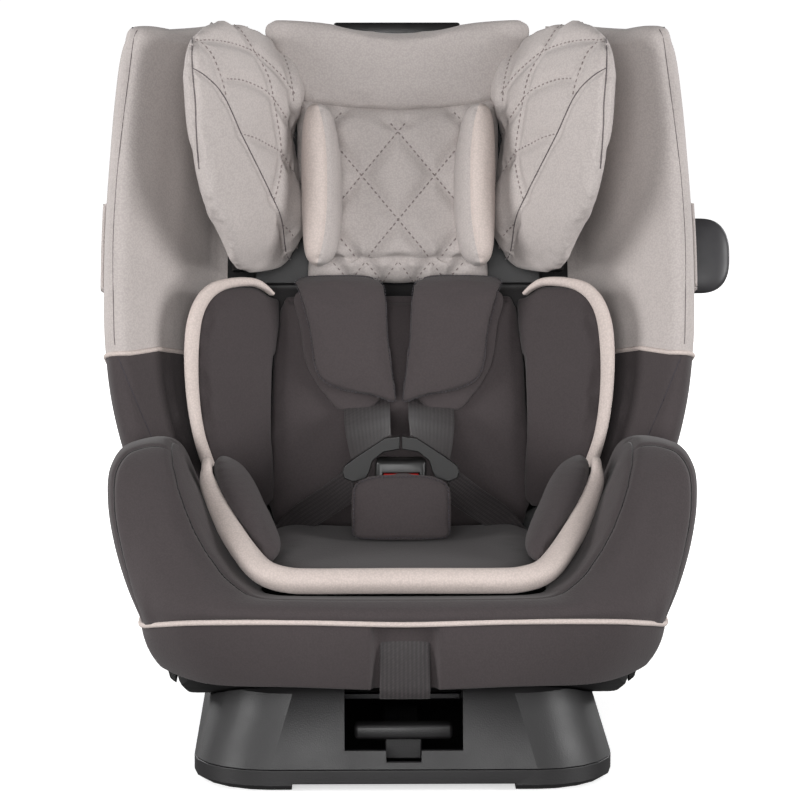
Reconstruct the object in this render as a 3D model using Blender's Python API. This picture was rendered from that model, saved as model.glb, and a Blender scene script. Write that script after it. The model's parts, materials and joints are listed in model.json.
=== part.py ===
"""Convertible child car seat: a padded bucket that reclines on a moulded base, with a sliding headrest.

Metres, +Z up, the child faces -Y. The origin is the middle of the base's underside, on the surface it
stands on. The bucket's underside is a cylinder about the recline axis, and the base is a cradle round
the same axis, so the bucket slides along it. Everything above the bucket is laid out in the back frame:
its origin is the bight, where seat and back meet, its +Z runs up the back and its +Y to the rear.
Pairs are drawn once, for the +X side, and mirrored.
"""

import math

import bmesh
import bpy
import numpy as np
from mathutils import Matrix, Vector

# ---- Clearances -------------------------------------------------------------------------------------
TOUCH = 0.0004  # between pieces that rest on each other
SLIDE = 0.0015  # between pieces that move past each other
CUT = 0.02  # how far a cutter runs past what it cuts

# ---- Base -------------------------------------------------------------------------------------------
BASE_HALF_WIDTH = 0.163
BASE_FRONT = -0.205
BASE_REAR = 0.195
BASE_CORNER = 0.060
BASE_TOP_INSET = 0.020  # how far the cover's sides lean in
BASE_HEIGHT = 0.082
BASE_WALL = 0.004
TRAY_HEIGHT = 0.0166
TRAY_FLOOR = 0.0096
TRAY_RIM = 0.007
ARCH_HEIGHT = 0.0056
ARCH_HALF_WIDTH = 0.086
ARCH_DEPTH = 0.060
FOOT_THICKNESS = 0.003
FOOT_LENGTH = 0.120
FOOT_WIDTH = 0.030
FOOT_INSET = 0.035  # from the tray's side to the strip's middle
RECESS_HALF_WIDTH = 0.0455
RECESS_FLOOR = 0.0314
RECESS_DEPTH = 0.095

# ---- Recline ----------------------------------------------------------------------------------------
UNDERSIDE_Z = 0.048  # the bucket's lowest line
RECLINE_RADIUS = 0.452
RECLINE_Y = -0.020
RECLINE_Z = UNDERSIDE_Z + RECLINE_RADIUS
CYLINDER_SEGMENTS = 120
CYLINDER_LENGTH = 0.8
KEEL_FRONT = math.radians(-2)  # angles about the recline axis, positive to the front
KEEL_REAR = math.radians(-16)
KEEL_BOLTS = {"front": math.radians(-5.5), "rear": math.radians(-12.5)}
KEEL_WEB_HALF = 0.012
KEEL_FLANGE_HALF = 0.024
KEEL_FLANGE_THICKNESS = 0.006
BOLT_RADIUS = 0.0038
BOLT_HEAD_RADIUS = 0.0065
BOLT_HEAD_HEIGHT = 0.005
HANDLE_HALF_WIDTH = 0.038
HANDLE_DEPTH = 0.016
HANDLE_THICKNESS = 0.012
HANDLE_STEM_HALF = 0.014
HANDLE_STEM_THICKNESS = 0.004

# ---- Bucket -----------------------------------------------------------------------------------------
SHELL_WALL = 0.004
RIM_Z = 0.156
PAN_HALF_WIDTH = 0.190  # at the rim
PAN_FRONT = -0.250
PAN_REAR = 0.135
PAN_CORNER = 0.055
PAN_LEVELS = (0.040, 0.060, 0.080, 0.100, RIM_Z)
DECK_THICKNESS = 0.005  # of the shelf behind the back
APRON_THICKNESS = 0.011
APRON_BOTTOM = 0.094
APRON_REAR = 0.018
CUSHION_HALF_WIDTH = 0.148
CUSHION_REAR = 0.030
CUSHION_THICKNESS = 0.048
CUSHION_CORNER = 0.030

# ---- Back frame -------------------------------------------------------------------------------------
BIGHT_Y = 0.050
BIGHT_Z = 0.155
BACK_ANGLE = math.radians(14)  # from upright
BACK_HALF_WIDTH = 0.235
BACK_TOP = 0.412
BACK_FOOT = -0.093
BACK_WALL_Y = 0.030  # front face of the shell's rear wall
WING_FRONT_Y = -0.075
WING_LIP = 0.010  # padding in front of the shell's edge
WING_ROOT_INSET = 0.073  # from the shell's side to the foot of the wing padding
WING_PADDING_BOTTOM = 0.040
COLOUR_LINE = 0.152  # where the lower, darker cover meets the upper one
TOP_TAPERS = (0.162, 0.062)  # below the top, where the shell starts to narrow and narrows faster
BACK_CUSHION_BOTTOM = 0.018
BACK_CUSHION_TOP = 0.205
BACK_CUSHION_FRONT = -0.006
BACK_CUSHION_THICKNESS = 0.010
WINDOW_HALF = 0.065
WINDOW_BOTTOM = 0.190
WINDOW_MARGIN = 0.030
BELT_WINDOW_Y = (-0.004, 0.0255)  # the vehicle belt's way through, from side to side
BELT_WINDOW_Z = (0.045, 0.105)
REAR_COVER_HALF = 0.122
REAR_COVER_BOTTOM = 0.015
REAR_COVER_TOP_MARGIN = 0.050
REAR_COVER_DEPTH = 0.030
REAR_COVER_WALL = 0.003
ROD_RADIUS = 0.0035
ROD_X = 0.095
ROD_BOTTOM = 0.112
ROD_TOP_MARGIN = 0.020
YOKE_THICKNESS = 0.0024
PULL_STRAP_WIDTH = 0.030

# ---- Side bolsters of the seat ----------------------------------------------------------------------
BOLSTER_TOP = 0.261
BOLSTER_HALF_WIDTH = 0.2275
BOLSTER_INNER_LOW = 0.108
BOLSTER_INNER_HIGH = 0.156
BOLSTER_FRONT_LOW = -0.250
BOLSTER_FRONT_HIGH = -0.150
BOLSTER_CORNER = 0.026

# ---- Insert -----------------------------------------------------------------------------------------
INSERT_GAP = 0.0025
INSERT_SEAT_THICKNESS = 0.015
INSERT_BACK_THICKNESS = 0.016
INSERT_FRONT = -0.218
INSERT_REAR = 0.022
INSERT_BACK_BOTTOM = 0.024
INSERT_BACK_TOP = 0.200
THIGH_THICKNESS = 0.014
THIGH_TOP = 0.240
TORSO_WING_TIP = 0.170
TORSO_WING_FRONT = -0.070
TORSO_WING_THICKNESS = 0.022

# ---- Headrest ---------------------------------------------------------------------------------------
HEAD_BOTTOM = 0.212
HEAD_HEIGHT = 0.213
HEAD_PLATE_HALF = 0.120
HEAD_PLATE_Y = (0.016, 0.020)
HEAD_PAD_HALF = 0.0745
HEAD_PAD_FRONT = -0.015
HEAD_TOP_PAD_HEIGHT = 0.062
HEAD_TOP_PAD_LIP = 0.007
HEAD_WING_CLEARANCE = 0.061  # from the shell's side in to the wing's tip
HEAD_WING_THICKNESS = 0.048
HEAD_WING_FRONT = -0.118
HEAD_WING_REAR = 0.009
HEAD_BOLSTER_X = (0.0485, 0.0740)
HEAD_BOLSTER_FRONT = -0.060
HEAD_BOLSTER_Z = (0.014, 0.1495)
LEVER_HALF_WIDTH = 0.054
LEVER_THICKNESS = 0.0075
LEVER_BAR_HEIGHT = 0.012
LEVER_HEIGHT = 0.040
LEVER_STEM_HALF = 0.014
LEVER_RISE = 0.012  # of its top above the top pad
GUIDE_Z = (0.010, 0.018)

# ---- Harness ----------------------------------------------------------------------------------------
WEBBING_WIDTH = 0.040
WEBBING_THICKNESS = 0.0016
LAP_WIDTH = 0.029
SHOULDER_PAD_X = (0.005, 0.084)
SHOULDER_PAD_THICKNESS = 0.012
SHOULDER_PAD_LENGTH = 0.108
TONGUE_Y = (-0.050, -0.043)
BUCKLE_HALF_WIDTH = 0.0205
BUCKLE_TOP = 0.2345
BUCKLE_BOTTOM = 0.186
BUCKLE_Y = (-0.0585, -0.036)
BUTTON_HALF_WIDTH = 0.0145
BUTTON_Z = (0.203, 0.2235)
BUTTON_GAP = 0.0005
BUTTON_TRAVEL = 0.0035
CROTCH_STRAP_WIDTH = 0.030
CROTCH_PAD_HALF = 0.040
CROTCH_PAD_TOP = 0.222
CROTCH_PAD_THICKNESS = 0.010
CROTCH_PAD_GAP = 0.006  # from the buckle

# ---- Harness adjuster -------------------------------------------------------------------------------
ADJUSTER_STRAP_WIDTH = 0.038
ADJUSTER_STRAP_Z = 0.134  # where it comes out of the bucket
ADJUSTER_DEPTH = 0.040
ADJUSTER_HALF = ADJUSTER_STRAP_WIDTH / 2 + 0.011
ADJUSTER_BUTTON_HALF = 0.010
NOTCH_HALF = ADJUSTER_STRAP_WIDTH / 2 + 0.0025
NOTCH_TOP = ADJUSTER_STRAP_Z + 0.005
SLOT_HALF_HEIGHT = 0.0035

# ---- Side pods and hooks ----------------------------------------------------------------------------
POD_HEIGHT = 0.057
POD_LENGTH = 0.046  # from its hinge pin to its tip
POD_THICKNESS = 0.016
POD_Z = 0.2325
POD_Y = -0.004
POD_PIN_RADIUS = 0.003
POD_PIN_LENGTH = 0.003
POD_HOUSING_WALL = 0.0025
POD_SWING = math.radians(88)
HOOK_Y = (-0.135, -0.112)

# ---- Worked out -------------------------------------------------------------------------------------
INSERT_HALF_WIDTH = BOLSTER_INNER_LOW - THIGH_THICKNESS - 2 * INSERT_GAP
INSERT_TOP = RIM_Z + 2 * TOUCH + INSERT_SEAT_THICKNESS
INSERT_BACK_FRONT = BACK_CUSHION_FRONT - TOUCH - INSERT_BACK_THICKNESS
STRAP_LIE = INSERT_BACK_FRONT - 2 * TOUCH - WEBBING_THICKNESS / 2  # middle of the webbing on the insert
HARNESS_SLOT_Z = (BACK_CUSHION_TOP + HEAD_BOTTOM) / 2
SHELL_REAR_Y = BACK_WALL_Y + SHELL_WALL
BEHIND_SHELL_Y = SHELL_REAR_Y + TOUCH + REAR_COVER_DEPTH / 2
HEAD_PAD_REAR = HEAD_PLATE_Y[0] - TOUCH
BACK_KNOTS = (
    BACK_FOOT, -0.050, -0.030, 0.0, 0.040, 0.050, 0.100, COLOUR_LINE,
    BACK_TOP - TOP_TAPERS[0], BACK_TOP - TOP_TAPERS[1], BACK_TOP,
)


# =====================================================================================================
# Tools
# =====================================================================================================
def clear_scene():
    for old in list(bpy.data.objects):
        bpy.data.objects.remove(old)


def material(name, colour, roughness, metallic=0.0):
    made = bpy.data.materials.new(name)
    made.use_nodes = True
    shader = made.node_tree.nodes["Principled BSDF"]
    shader.inputs["Base Color"].default_value = (*colour, 1.0)
    shader.inputs["Roughness"].default_value = roughness
    shader.inputs["Metallic"].default_value = metallic
    return made


def empty(name, location=(0, 0, 0), rotation=(0, 0, 0), parent=None):
    made = bpy.data.objects.new(name, None)
    bpy.context.scene.collection.objects.link(made)
    made.location = location
    made.rotation_euler = rotation
    made.parent = parent
    return made


def solid(name, bm, finish, parent, smooth=math.radians(35)):
    """The bmesh as an object of the scene, with its faces pointing out."""
    bmesh.ops.recalc_face_normals(bm, faces=bm.faces[:])
    mesh = bpy.data.meshes.new(name)
    bm.to_mesh(mesh)
    bm.free()
    mesh.shade_smooth()
    mesh.set_sharp_from_angle(angle=smooth)
    if finish is not None:
        mesh.materials.append(finish)
    made = bpy.data.objects.new(name, mesh)
    bpy.context.scene.collection.objects.link(made)
    made.parent = parent
    return made


def loft(name, rings, finish=None, parent=None):
    """Closed rings of points joined one to the next, with a face over each end."""
    bm = bmesh.new()
    loops = [[bm.verts.new(point) for point in ring] for ring in rings]
    count = len(loops[0])
    for low, high in zip(loops, loops[1:]):
        for i in range(count):
            j = (i + 1) % count
            bm.faces.new((low[i], low[j], high[j], high[i]))
    bm.faces.new(loops[0][::-1])
    bm.faces.new(loops[-1])
    return solid(name, bm, finish, parent)


def box(name, x, y, z, finish=None, parent=None, bevel=0.0, segments=2):
    """A box over three spans. Its object sits at the box's middle, and a Bevel rounds its edges."""
    spans = np.sort(np.array((x, y, z), float))
    bm = bmesh.new()
    bmesh.ops.create_cube(bm, size=1.0)
    bmesh.ops.scale(bm, vec=spans[:, 1] - spans[:, 0], verts=bm.verts[:])
    made = solid(name, bm, finish, parent)
    made.location = spans.mean(axis=1)
    if bevel:
        rounding = made.modifiers.new("rounding", "BEVEL")
        rounding.width = bevel
        rounding.segments = segments
        rounding.limit_method = "ANGLE"
    return made


def cylinder(name, radius, length, centre, axis="Z", finish=None, parent=None, segments=12):
    """A cylinder about the named axis, with its middle at centre."""
    bm = bmesh.new()
    bmesh.ops.create_cone(
        bm, cap_ends=True, segments=segments, radius1=radius, radius2=radius, depth=length
    )
    if axis == "X":
        bmesh.ops.rotate(bm, matrix=Matrix.Rotation(math.pi / 2, 3, "Y"), verts=bm.verts[:])
    made = solid(name, bm, finish, parent)
    made.location = centre
    return made


def combine(target, other, operation):
    """A Boolean with a cutter or guide, which is hidden because it is no piece of the object."""
    other.hide_render = True
    other.display_type = "WIRE"
    step = target.modifiers.new(operation.lower(), "BOOLEAN")
    step.operation = operation
    step.object = other
    step.solver = "EXACT"
    return target


def cut(target, cutter):
    return combine(target, cutter, "DIFFERENCE")


def join(target, guide):
    return combine(target, guide, "UNION")


def rounded_ring(x, y, z, radius, per_corner=6):
    """A rounded rectangle over the spans x and y, at height z."""
    radius = min(radius, 0.49 * (x[1] - x[0]), 0.49 * (y[1] - y[0]))
    corners = (
        (x[1] - radius, y[1] - radius),
        (x[0] + radius, y[1] - radius),
        (x[0] + radius, y[0] + radius),
        (x[1] - radius, y[0] + radius),
    )
    points = []
    for quarter, (cx, cy) in enumerate(corners):
        for a in np.linspace(quarter * math.pi / 2, (quarter + 1) * math.pi / 2, per_corner):
            points.append((cx + radius * math.cos(a), cy + radius * math.sin(a), z))
    return points


def mirrored(rings, side):
    """Rings drawn for the +X side, or their mirror image for side -1."""
    return [[(side * x, y, z) for x, y, z in ring] for ring in rings]


def towards(ring, share):
    """A ring drawn in by a share of its size towards its own middle."""
    middle = np.mean(ring, axis=0)
    return [tuple(middle + (np.array(point) - middle) * (1 - share)) for point in ring]


def plate(name, outline, y, finish=None, parent=None):
    """An (x, z) outline extruded over the span y."""
    return loft(name, [[(px, level, pz) for px, pz in outline] for level in y], finish, parent)


def ribbon(name, middles, across, width, thickness, finish=None, parent=None):
    """Webbing along middles: its width runs along across, and its thickness is square to both."""
    points = [Vector(point) for point in middles]
    across = Vector(across)
    rings = []
    for i, point in enumerate(points):
        ahead = (points[min(i + 1, len(points) - 1)] - points[max(i - 1, 0)]).normalized()
        side = (across - ahead * across.dot(ahead)).normalized()
        up = ahead.cross(side) * (thickness / 2)
        side = side * (width / 2)
        corners = (side + up, up - side, -side - up, side - up)
        rings.append([tuple(point + corner) for corner in corners])
    return loft(name, rings, finish, parent)


def recline_cylinder(name, radius):
    centre = (0, RECLINE_Y, RECLINE_Z)
    return cylinder(name, radius, CYLINDER_LENGTH, centre, "X", segments=CYLINDER_SEGMENTS)


def sides():
    """The two sides of the seat, named as they are seen from in front."""
    return ((-1, "left"), (1, "right"))


def back_to_world(x, y, z):
    """A point of the back frame, in the frame of the whole seat at rest."""
    s, c = math.sin(BACK_ANGLE), math.cos(BACK_ANGLE)
    return (x, BIGHT_Y + z * s + y * c, BIGHT_Z + z * c - y * s)


# =====================================================================================================
# Shapes that several pieces share
# =====================================================================================================
def pan_front(z):
    return float(np.interp(z, PAN_LEVELS, PAN_FRONT + np.array((0.100, 0.060, 0.025, 0.012, 0.0))))


def pan_ring(z, outset=0.0):
    """The bucket's outline at height z, grown by outset. It narrows towards its underside."""
    half = np.interp(z, PAN_LEVELS, PAN_HALF_WIDTH - np.array((0.050, 0.025, 0.0165, 0.013, 0.0)))
    rear = np.interp(z, PAN_LEVELS, PAN_REAR - np.array((0.020, 0.010, 0.005, 0.003, 0.0)))
    x = (-half - outset, half + outset)
    return rounded_ring(x, (pan_front(z) - outset, rear + outset), z, PAN_CORNER + outset)


def knots_between(low, high):
    """Heights at which the back shell's outline bends, with the two ends given."""
    return [low, *(z for z in BACK_KNOTS if low < z < high), high]


def back_half_width(z):
    """Half the back shell's width at height z of the back frame. Its foot stands inside the pan."""
    heights = (BACK_FOOT, -0.050, 0.0, 0.050, 0.100, COLOUR_LINE, *BACK_KNOTS[-3:])
    foot = PAN_HALF_WIDTH - np.array((0.068, 0.034, 0.0))
    body = BACK_HALF_WIDTH - np.array((0.021, 0.007, 0.0, 0.0, 0.007, 0.020))
    return float(np.interp(z, heights, (*foot, *body)))


def wing_front(z):
    """How far forward the back shell's sides reach at height z of the back frame."""
    return float(np.interp(z, BACK_KNOTS[:5:2], (0.012, 0.0, WING_FRONT_Y)))


def back_section(z):
    """The front face of the back shell for x > 0, from the middle out to the front edge of its side."""
    w = back_half_width(z)
    front = wing_front(z)
    return [
        (0.0, BACK_WALL_Y),
        (w - 0.106, BACK_WALL_Y),
        (w - 0.061, BACK_WALL_Y - 0.004),
        (w - 0.024, BACK_WALL_Y - 0.016),
        (w - 0.005, BACK_WALL_Y - 0.036),
        (w, front * 0.5),
        (w, front),
    ]


def bolster_inner(z):
    return float(np.interp(z, (RIM_Z, BOLSTER_TOP), (BOLSTER_INNER_LOW, BOLSTER_INNER_HIGH)))


def wing_plane_y(z):
    """World Y of the plane just in front of the back's wings, at world height z."""
    ahead = (WING_FRONT_Y - WING_LIP) / math.cos(BACK_ANGLE)
    return BIGHT_Y + (z - BIGHT_Z) * math.tan(BACK_ANGLE) + ahead - SLIDE


# =====================================================================================================
# Base
# =====================================================================================================
def base_ring(z, inset=0.0):
    """The base's outline at height z, drawn in by inset. Its sides lean in above the tray."""
    lean = BASE_TOP_INSET * max(0.0, z - TRAY_HEIGHT) / (BASE_HEIGHT - TRAY_HEIGHT)
    half = BASE_HALF_WIDTH - lean - inset
    y = (BASE_FRONT + 0.7 * lean + inset, BASE_REAR - 0.7 * lean - inset)
    return rounded_ring((-half, half), y, z, BASE_CORNER - inset)


def make_base_tray(m):
    rings = [towards(base_ring(0.0), 0.03), base_ring(0.004), base_ring(TRAY_HEIGHT)]
    tray = loft("base_tray", rings, m["plastic"])
    pocket = [base_ring(z, TRAY_RIM) for z in (TRAY_FLOOR, TRAY_HEIGHT + CUT)]
    cut(tray, loft("tray_pocket_cutter", pocket))
    arch_x = (-ARCH_HALF_WIDTH, ARCH_HALF_WIDTH)
    ends = {
        "front": (BASE_FRONT - CUT, BASE_FRONT + ARCH_DEPTH),
        "rear": (BASE_REAR - ARCH_DEPTH, BASE_REAR + CUT),
    }
    for end, y in ends.items():
        cut(tray, box(f"arch_{end}_cutter", arch_x, y, (-CUT, ARCH_HEIGHT)))
    for side, label in sides():
        middle = side * (BASE_HALF_WIDTH - FOOT_INSET)
        x = (middle - FOOT_WIDTH / 2, middle + FOOT_WIDTH / 2)
        y = (-FOOT_LENGTH / 2, FOOT_LENGTH / 2)
        box(f"foot_strip_{label}", x, y, (0.0, FOOT_THICKNESS), m["rubber"], None, 0.001, 1)
        pocket = [(span[0] - TOUCH, span[1] + TOUCH) for span in (x, y)]
        cut(tray, box(f"foot_{label}_cutter", *pocket, (-CUT, FOOT_THICKNESS + TOUCH)))


def make_base_cover(m):
    """A hollow moulding, open below, whose top is the cradle that the bucket slides in."""
    start = TRAY_HEIGHT + TOUCH
    edge = BASE_HEIGHT - 0.008
    outer = [base_ring(start), base_ring(edge), base_ring(BASE_HEIGHT, 0.006)]
    cover = loft("base_cover", outer, m["plastic"])
    cradle = RECLINE_RADIUS + SLIDE
    cut(cover, recline_cylinder("cradle_cutter", cradle))
    inner = [
        base_ring(start - CUT, BASE_WALL),
        base_ring(start, BASE_WALL),
        base_ring(edge, BASE_WALL),
        base_ring(BASE_HEIGHT - BASE_WALL, BASE_WALL + 0.006),
    ]
    hollow = loft("cover_hollow_cutter", inner)
    cut(hollow, recline_cylinder("cradle_wall_cutter", cradle + BASE_WALL))
    cut(cover, hollow)
    recess_x = (-RECESS_HALF_WIDTH, RECESS_HALF_WIDTH)
    recess_y = (BASE_FRONT - CUT, BASE_FRONT + RECESS_DEPTH)
    cut(cover, box("recess_cutter", recess_x, recess_y, (RECESS_FLOOR, BASE_HEIGHT + CUT)))
    slot_half = KEEL_WEB_HALF + SLIDE
    slot_rear = RECLINE_Y - (cradle + BASE_WALL) * math.sin(KEEL_REAR) + 0.006
    slot_z = (TRAY_HEIGHT + 0.006, BASE_HEIGHT + CUT)
    cut(cover, box("keel_slot_cutter", (-slot_half, slot_half), (BASE_FRONT, slot_rear), slot_z))


def arc_bar(name, inner, outer, start, end, half, finish, parent, steps=10):
    """A bar of half-width half that follows an arc about the recline axis, between two angles."""
    angles = np.linspace(start, end, steps)
    around = [(outer, a) for a in angles] + [(inner, a) for a in angles[::-1]]
    edge = [(RECLINE_Y - r * math.sin(a), RECLINE_Z - r * math.cos(a)) for r, a in around]
    return loft(name, [[(x, y, z) for y, z in edge] for x in (-half, half)], finish, parent)


def make_keel(m, seat):
    """It hangs under the bucket, through the cradle's slot, and its flange runs below the cradle."""
    web_top = RECLINE_RADIUS + TOUCH
    flange_top = RECLINE_RADIUS + SLIDE + BASE_WALL + SLIDE
    flange_bottom = flange_top + KEEL_FLANGE_THICKNESS
    web = (web_top, flange_top + 0.002, KEEL_REAR, KEEL_FRONT, KEEL_WEB_HALF)
    keel = arc_bar("recline_keel", *web, m["plastic"], seat)
    flange = (flange_top, flange_bottom, KEEL_REAR + 0.004, KEEL_FRONT - 0.004, KEEL_FLANGE_HALF)
    join(keel, arc_bar("keel_flange_guide", *flange, None, seat))
    head_top = RECLINE_RADIUS - SHELL_WALL - 3 * TOUCH
    shank = flange_bottom - head_top - 0.002
    for label, angle in KEEL_BOLTS.items():
        turn = (math.pi - angle, 0, 0)
        pivot = empty(f"keel_bolt_{label}_axis", (0, RECLINE_Y, RECLINE_Z), turn, seat)
        head = (0, 0, head_top - BOLT_HEAD_HEIGHT / 2)
        bolt = cylinder(
            f"keel_bolt_{label}", BOLT_HEAD_RADIUS, BOLT_HEAD_HEIGHT, head, "Z", m["steel"], pivot
        )
        middle = (0, 0, head_top + shank / 2 - 0.001)
        stem = cylinder(f"keel_bolt_{label}_stem_guide", BOLT_RADIUS, shank + 0.002, middle, parent=pivot)
        join(bolt, stem)
        bore_radius = BOLT_RADIUS + TOUCH
        bore = cylinder(f"keel_bolt_{label}_bore_cutter", bore_radius, shank + CUT, middle, parent=pivot)
        cut(keel, bore)


def make_recline_handle(m):
    """A grip in the base's recess, on a flat stem that runs back below the keel."""
    front = BASE_FRONT + 0.017
    back = front + HANDLE_DEPTH
    grip_z = (RECESS_FLOOR + 0.005, RECESS_FLOOR + 0.005 + HANDLE_THICKNESS)
    grip_x = (-HANDLE_HALF_WIDTH, HANDLE_HALF_WIDTH)
    handle = box("recline_handle", grip_x, (front, back), grip_z, m["plastic"], None, 0.003)
    stem_x = (-HANDLE_STEM_HALF, HANDLE_STEM_HALF)
    stem_z = (TRAY_HEIGHT + 0.003, TRAY_HEIGHT + 0.003 + HANDLE_STEM_THICKNESS)
    middle = (front + back) / 2
    join(handle, box("handle_drop_guide", stem_x, (middle, back - 0.003), (stem_z[0], grip_z[0] + 0.004)))
    join(handle, box("handle_stem_guide", stem_x, (middle, RECLINE_Y + 0.010), stem_z))


# =====================================================================================================
# Bucket shell
# =====================================================================================================
def back_sheet(parent):
    """The back shell: a sheet through back_section at each height, given its wall by Solidify."""
    bm = bmesh.new()
    rows = []
    for z in BACK_KNOTS:
        half = back_section(z)
        row = [(-x, y, z) for x, y in half[::-1]] + [(x, y, z) for x, y in half[1:]]
        rows.append([bm.verts.new(point) for point in row])
    for low, high in zip(rows, rows[1:]):
        for i in range(len(low) - 1):
            bm.faces.new((low[i], low[i + 1], high[i + 1], high[i]))
    made = solid("back_sheet_guide", bm, None, parent)
    wall = made.modifiers.new("wall", "SOLIDIFY")
    wall.thickness = SHELL_WALL
    wall.use_even_offset = True
    facing_front = min(made.data.polygons, key=lambda face: abs(face.center.x)).normal.y < 0
    wall.offset = -1.0 if facing_front else 1.0
    return made


def make_shell(m, seat, back):
    shell = loft("seat_shell", [pan_ring(z) for z in PAN_LEVELS], m["plastic"], seat)
    combine(shell, recline_cylinder("underside_guide", RECLINE_RADIUS), "INTERSECT")

    under_deck = RIM_Z - DECK_THICKNESS
    inside = [pan_ring(z, -SHELL_WALL) for z in (*PAN_LEVELS[:-1], under_deck)]
    hollow = loft("pan_hollow_cutter", inside)
    mouth = [pan_ring(z, -SHELL_WALL - TOUCH) for z in (under_deck - CUT / 2, RIM_Z)]
    mouth.append([(x, y, RIM_Z + CUT) for x, y, _ in mouth[-1]])
    deck_front = back_to_world(0.0, BACK_WALL_Y + SHELL_WALL / 2, 0.0)[1]
    mouth = [[(x, min(y, deck_front), z) for x, y, z in ring] for ring in mouth]
    join(hollow, loft("pan_mouth_guide", mouth))
    combine(hollow, recline_cylinder("floor_guide", RECLINE_RADIUS - SHELL_WALL), "INTERSECT")
    cut(shell, hollow)

    join(shell, back_sheet(back))
    window_x = (-WINDOW_HALF, WINDOW_HALF)
    window_y = (BACK_WALL_Y - CUT / 2, SHELL_REAR_Y + CUT)
    window_z = (WINDOW_BOTTOM, BACK_TOP - WINDOW_MARGIN)
    cut(shell, box("window_cutter", window_x, window_y, window_z, None, back))
    exit_x = (-NOTCH_HALF, NOTCH_HALF)
    exit_z = (ADJUSTER_STRAP_Z - SLOT_HALF_HEIGHT, ADJUSTER_STRAP_Z + SLOT_HALF_HEIGHT)
    cut(shell, box("strap_exit_cutter", exit_x, (PAN_FRONT - CUT, PAN_FRONT + CUT), exit_z))
    for label in KEEL_BOLTS:
        pivot = bpy.data.objects[f"keel_bolt_{label}_axis"]
        hole = cylinder(
            f"shell_bolt_{label}_cutter", BOLT_RADIUS + TOUCH, 0.03, (0, 0, RECLINE_RADIUS), parent=pivot
        )
        cut(shell, hole)


def make_rear_cover(m, back):
    """A shallow tray over the harness yoke behind the back's wall."""
    start = SHELL_REAR_Y + TOUCH
    top = BACK_TOP - REAR_COVER_TOP_MARGIN
    bend = start + 0.6 * REAR_COVER_DEPTH
    end = start + REAR_COVER_DEPTH
    wall = REAR_COVER_WALL

    def ring(y, inset):
        x = (inset - REAR_COVER_HALF, REAR_COVER_HALF - inset)
        flat = rounded_ring(x, (REAR_COVER_BOTTOM + inset, top - inset), 0.0, 0.03)
        return [(px, y, pz) for px, pz, _ in flat]

    outer = [ring(start, 0.0), ring(bend, 0.003), ring(end, 0.012)]
    cover = loft("rear_cover", outer, m["plastic"], back)
    inner = [ring(start - CUT / 2, wall), ring(bend, 0.003 + wall), ring(end - wall, 0.012 + wall)]
    cut(cover, loft("rear_cover_hollow_cutter", inner, None, back))


def make_harness_yoke(m, back):
    outline = [
        (-0.050, 0.176), (0.050, 0.176), (0.050, 0.162),
        (0.016, 0.128), (-0.016, 0.128), (-0.050, 0.162),
    ]
    y = (BEHIND_SHELL_Y - YOKE_THICKNESS / 2, BEHIND_SHELL_Y + YOKE_THICKNESS / 2)
    plate("harness_yoke", outline, y, m["steel"], back)
    ends = (0.128 - TOUCH, REAR_COVER_BOTTOM + 0.012)
    path = [(0, BEHIND_SHELL_Y, z) for z in ends]
    across = (1, 0, 0)
    ribbon("harness_pull_strap", path, across, PULL_STRAP_WIDTH, WEBBING_THICKNESS, m["webbing"], back)


def make_headrest_rods(m, back):
    length = BACK_TOP - ROD_TOP_MARGIN - ROD_BOTTOM
    for side, label in sides():
        centre = (side * ROD_X, BACK_WALL_Y - ROD_RADIUS - TOUCH, ROD_BOTTOM + length / 2)
        cylinder(f"headrest_rod_{label}", ROD_RADIUS, length, centre, "Z", m["steel"], back, 10)


# =====================================================================================================
# Seat padding
# =====================================================================================================
def make_seat_cushion(m, seat):
    """It fills the mouth of the pan, with a bay behind its front edge for the harness adjuster."""
    rings = []
    for z in (RIM_Z - CUSHION_THICKNESS, RIM_Z - TOUCH):
        front = pan_front(z) + SHELL_WALL + SLIDE
        x = (-CUSHION_HALF_WIDTH, CUSHION_HALF_WIDTH)
        rings.append(rounded_ring(x, (front, CUSHION_REAR), z, CUSHION_CORNER, 5))
    cushion = loft("seat_cushion", rings, m["dark_fabric"], seat)
    bay = ADJUSTER_HALF + 0.004
    bay_y = (PAN_FRONT - CUT, adjuster_front() + ADJUSTER_DEPTH + 0.004)
    cut(cushion, box("adjuster_bay_cutter", (-bay, bay), bay_y, (0.0, RIM_Z + CUT)))


def make_front_apron(m, seat):
    """Padding round the bucket's front and sides, with a channel for the adjuster's strap."""
    heights = (APRON_BOTTOM, 0.100, 0.130, RIM_Z)
    shares = (0.60, 0.90, 1.0, 0.95)
    outer = [pan_ring(z, APRON_THICKNESS * share) for z, share in zip(heights, shares)]
    apron = loft("front_apron", outer, m["dark_fabric"], seat)
    hole = [pan_ring(z, TOUCH) for z in PAN_LEVELS[2:]]
    hole.append([(x, y, RIM_Z + CUT) for x, y, _ in hole[-1]])
    cut(apron, loft("apron_hollow_cutter", hole, None, seat))
    across = (-PAN_HALF_WIDTH - CUT, PAN_HALF_WIDTH + CUT)
    rear = box("apron_rear_cutter", across, (APRON_REAR, PAN_REAR + CUT), (0.0, RIM_Z + CUT))
    cut(apron, rear)
    notch_y = (PAN_FRONT - APRON_THICKNESS - CUT, PAN_FRONT + 2 * CUT)
    cut(apron, box("apron_notch_cutter", (-NOTCH_HALF, NOTCH_HALF), notch_y, (0.0, NOTCH_TOP)))


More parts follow.
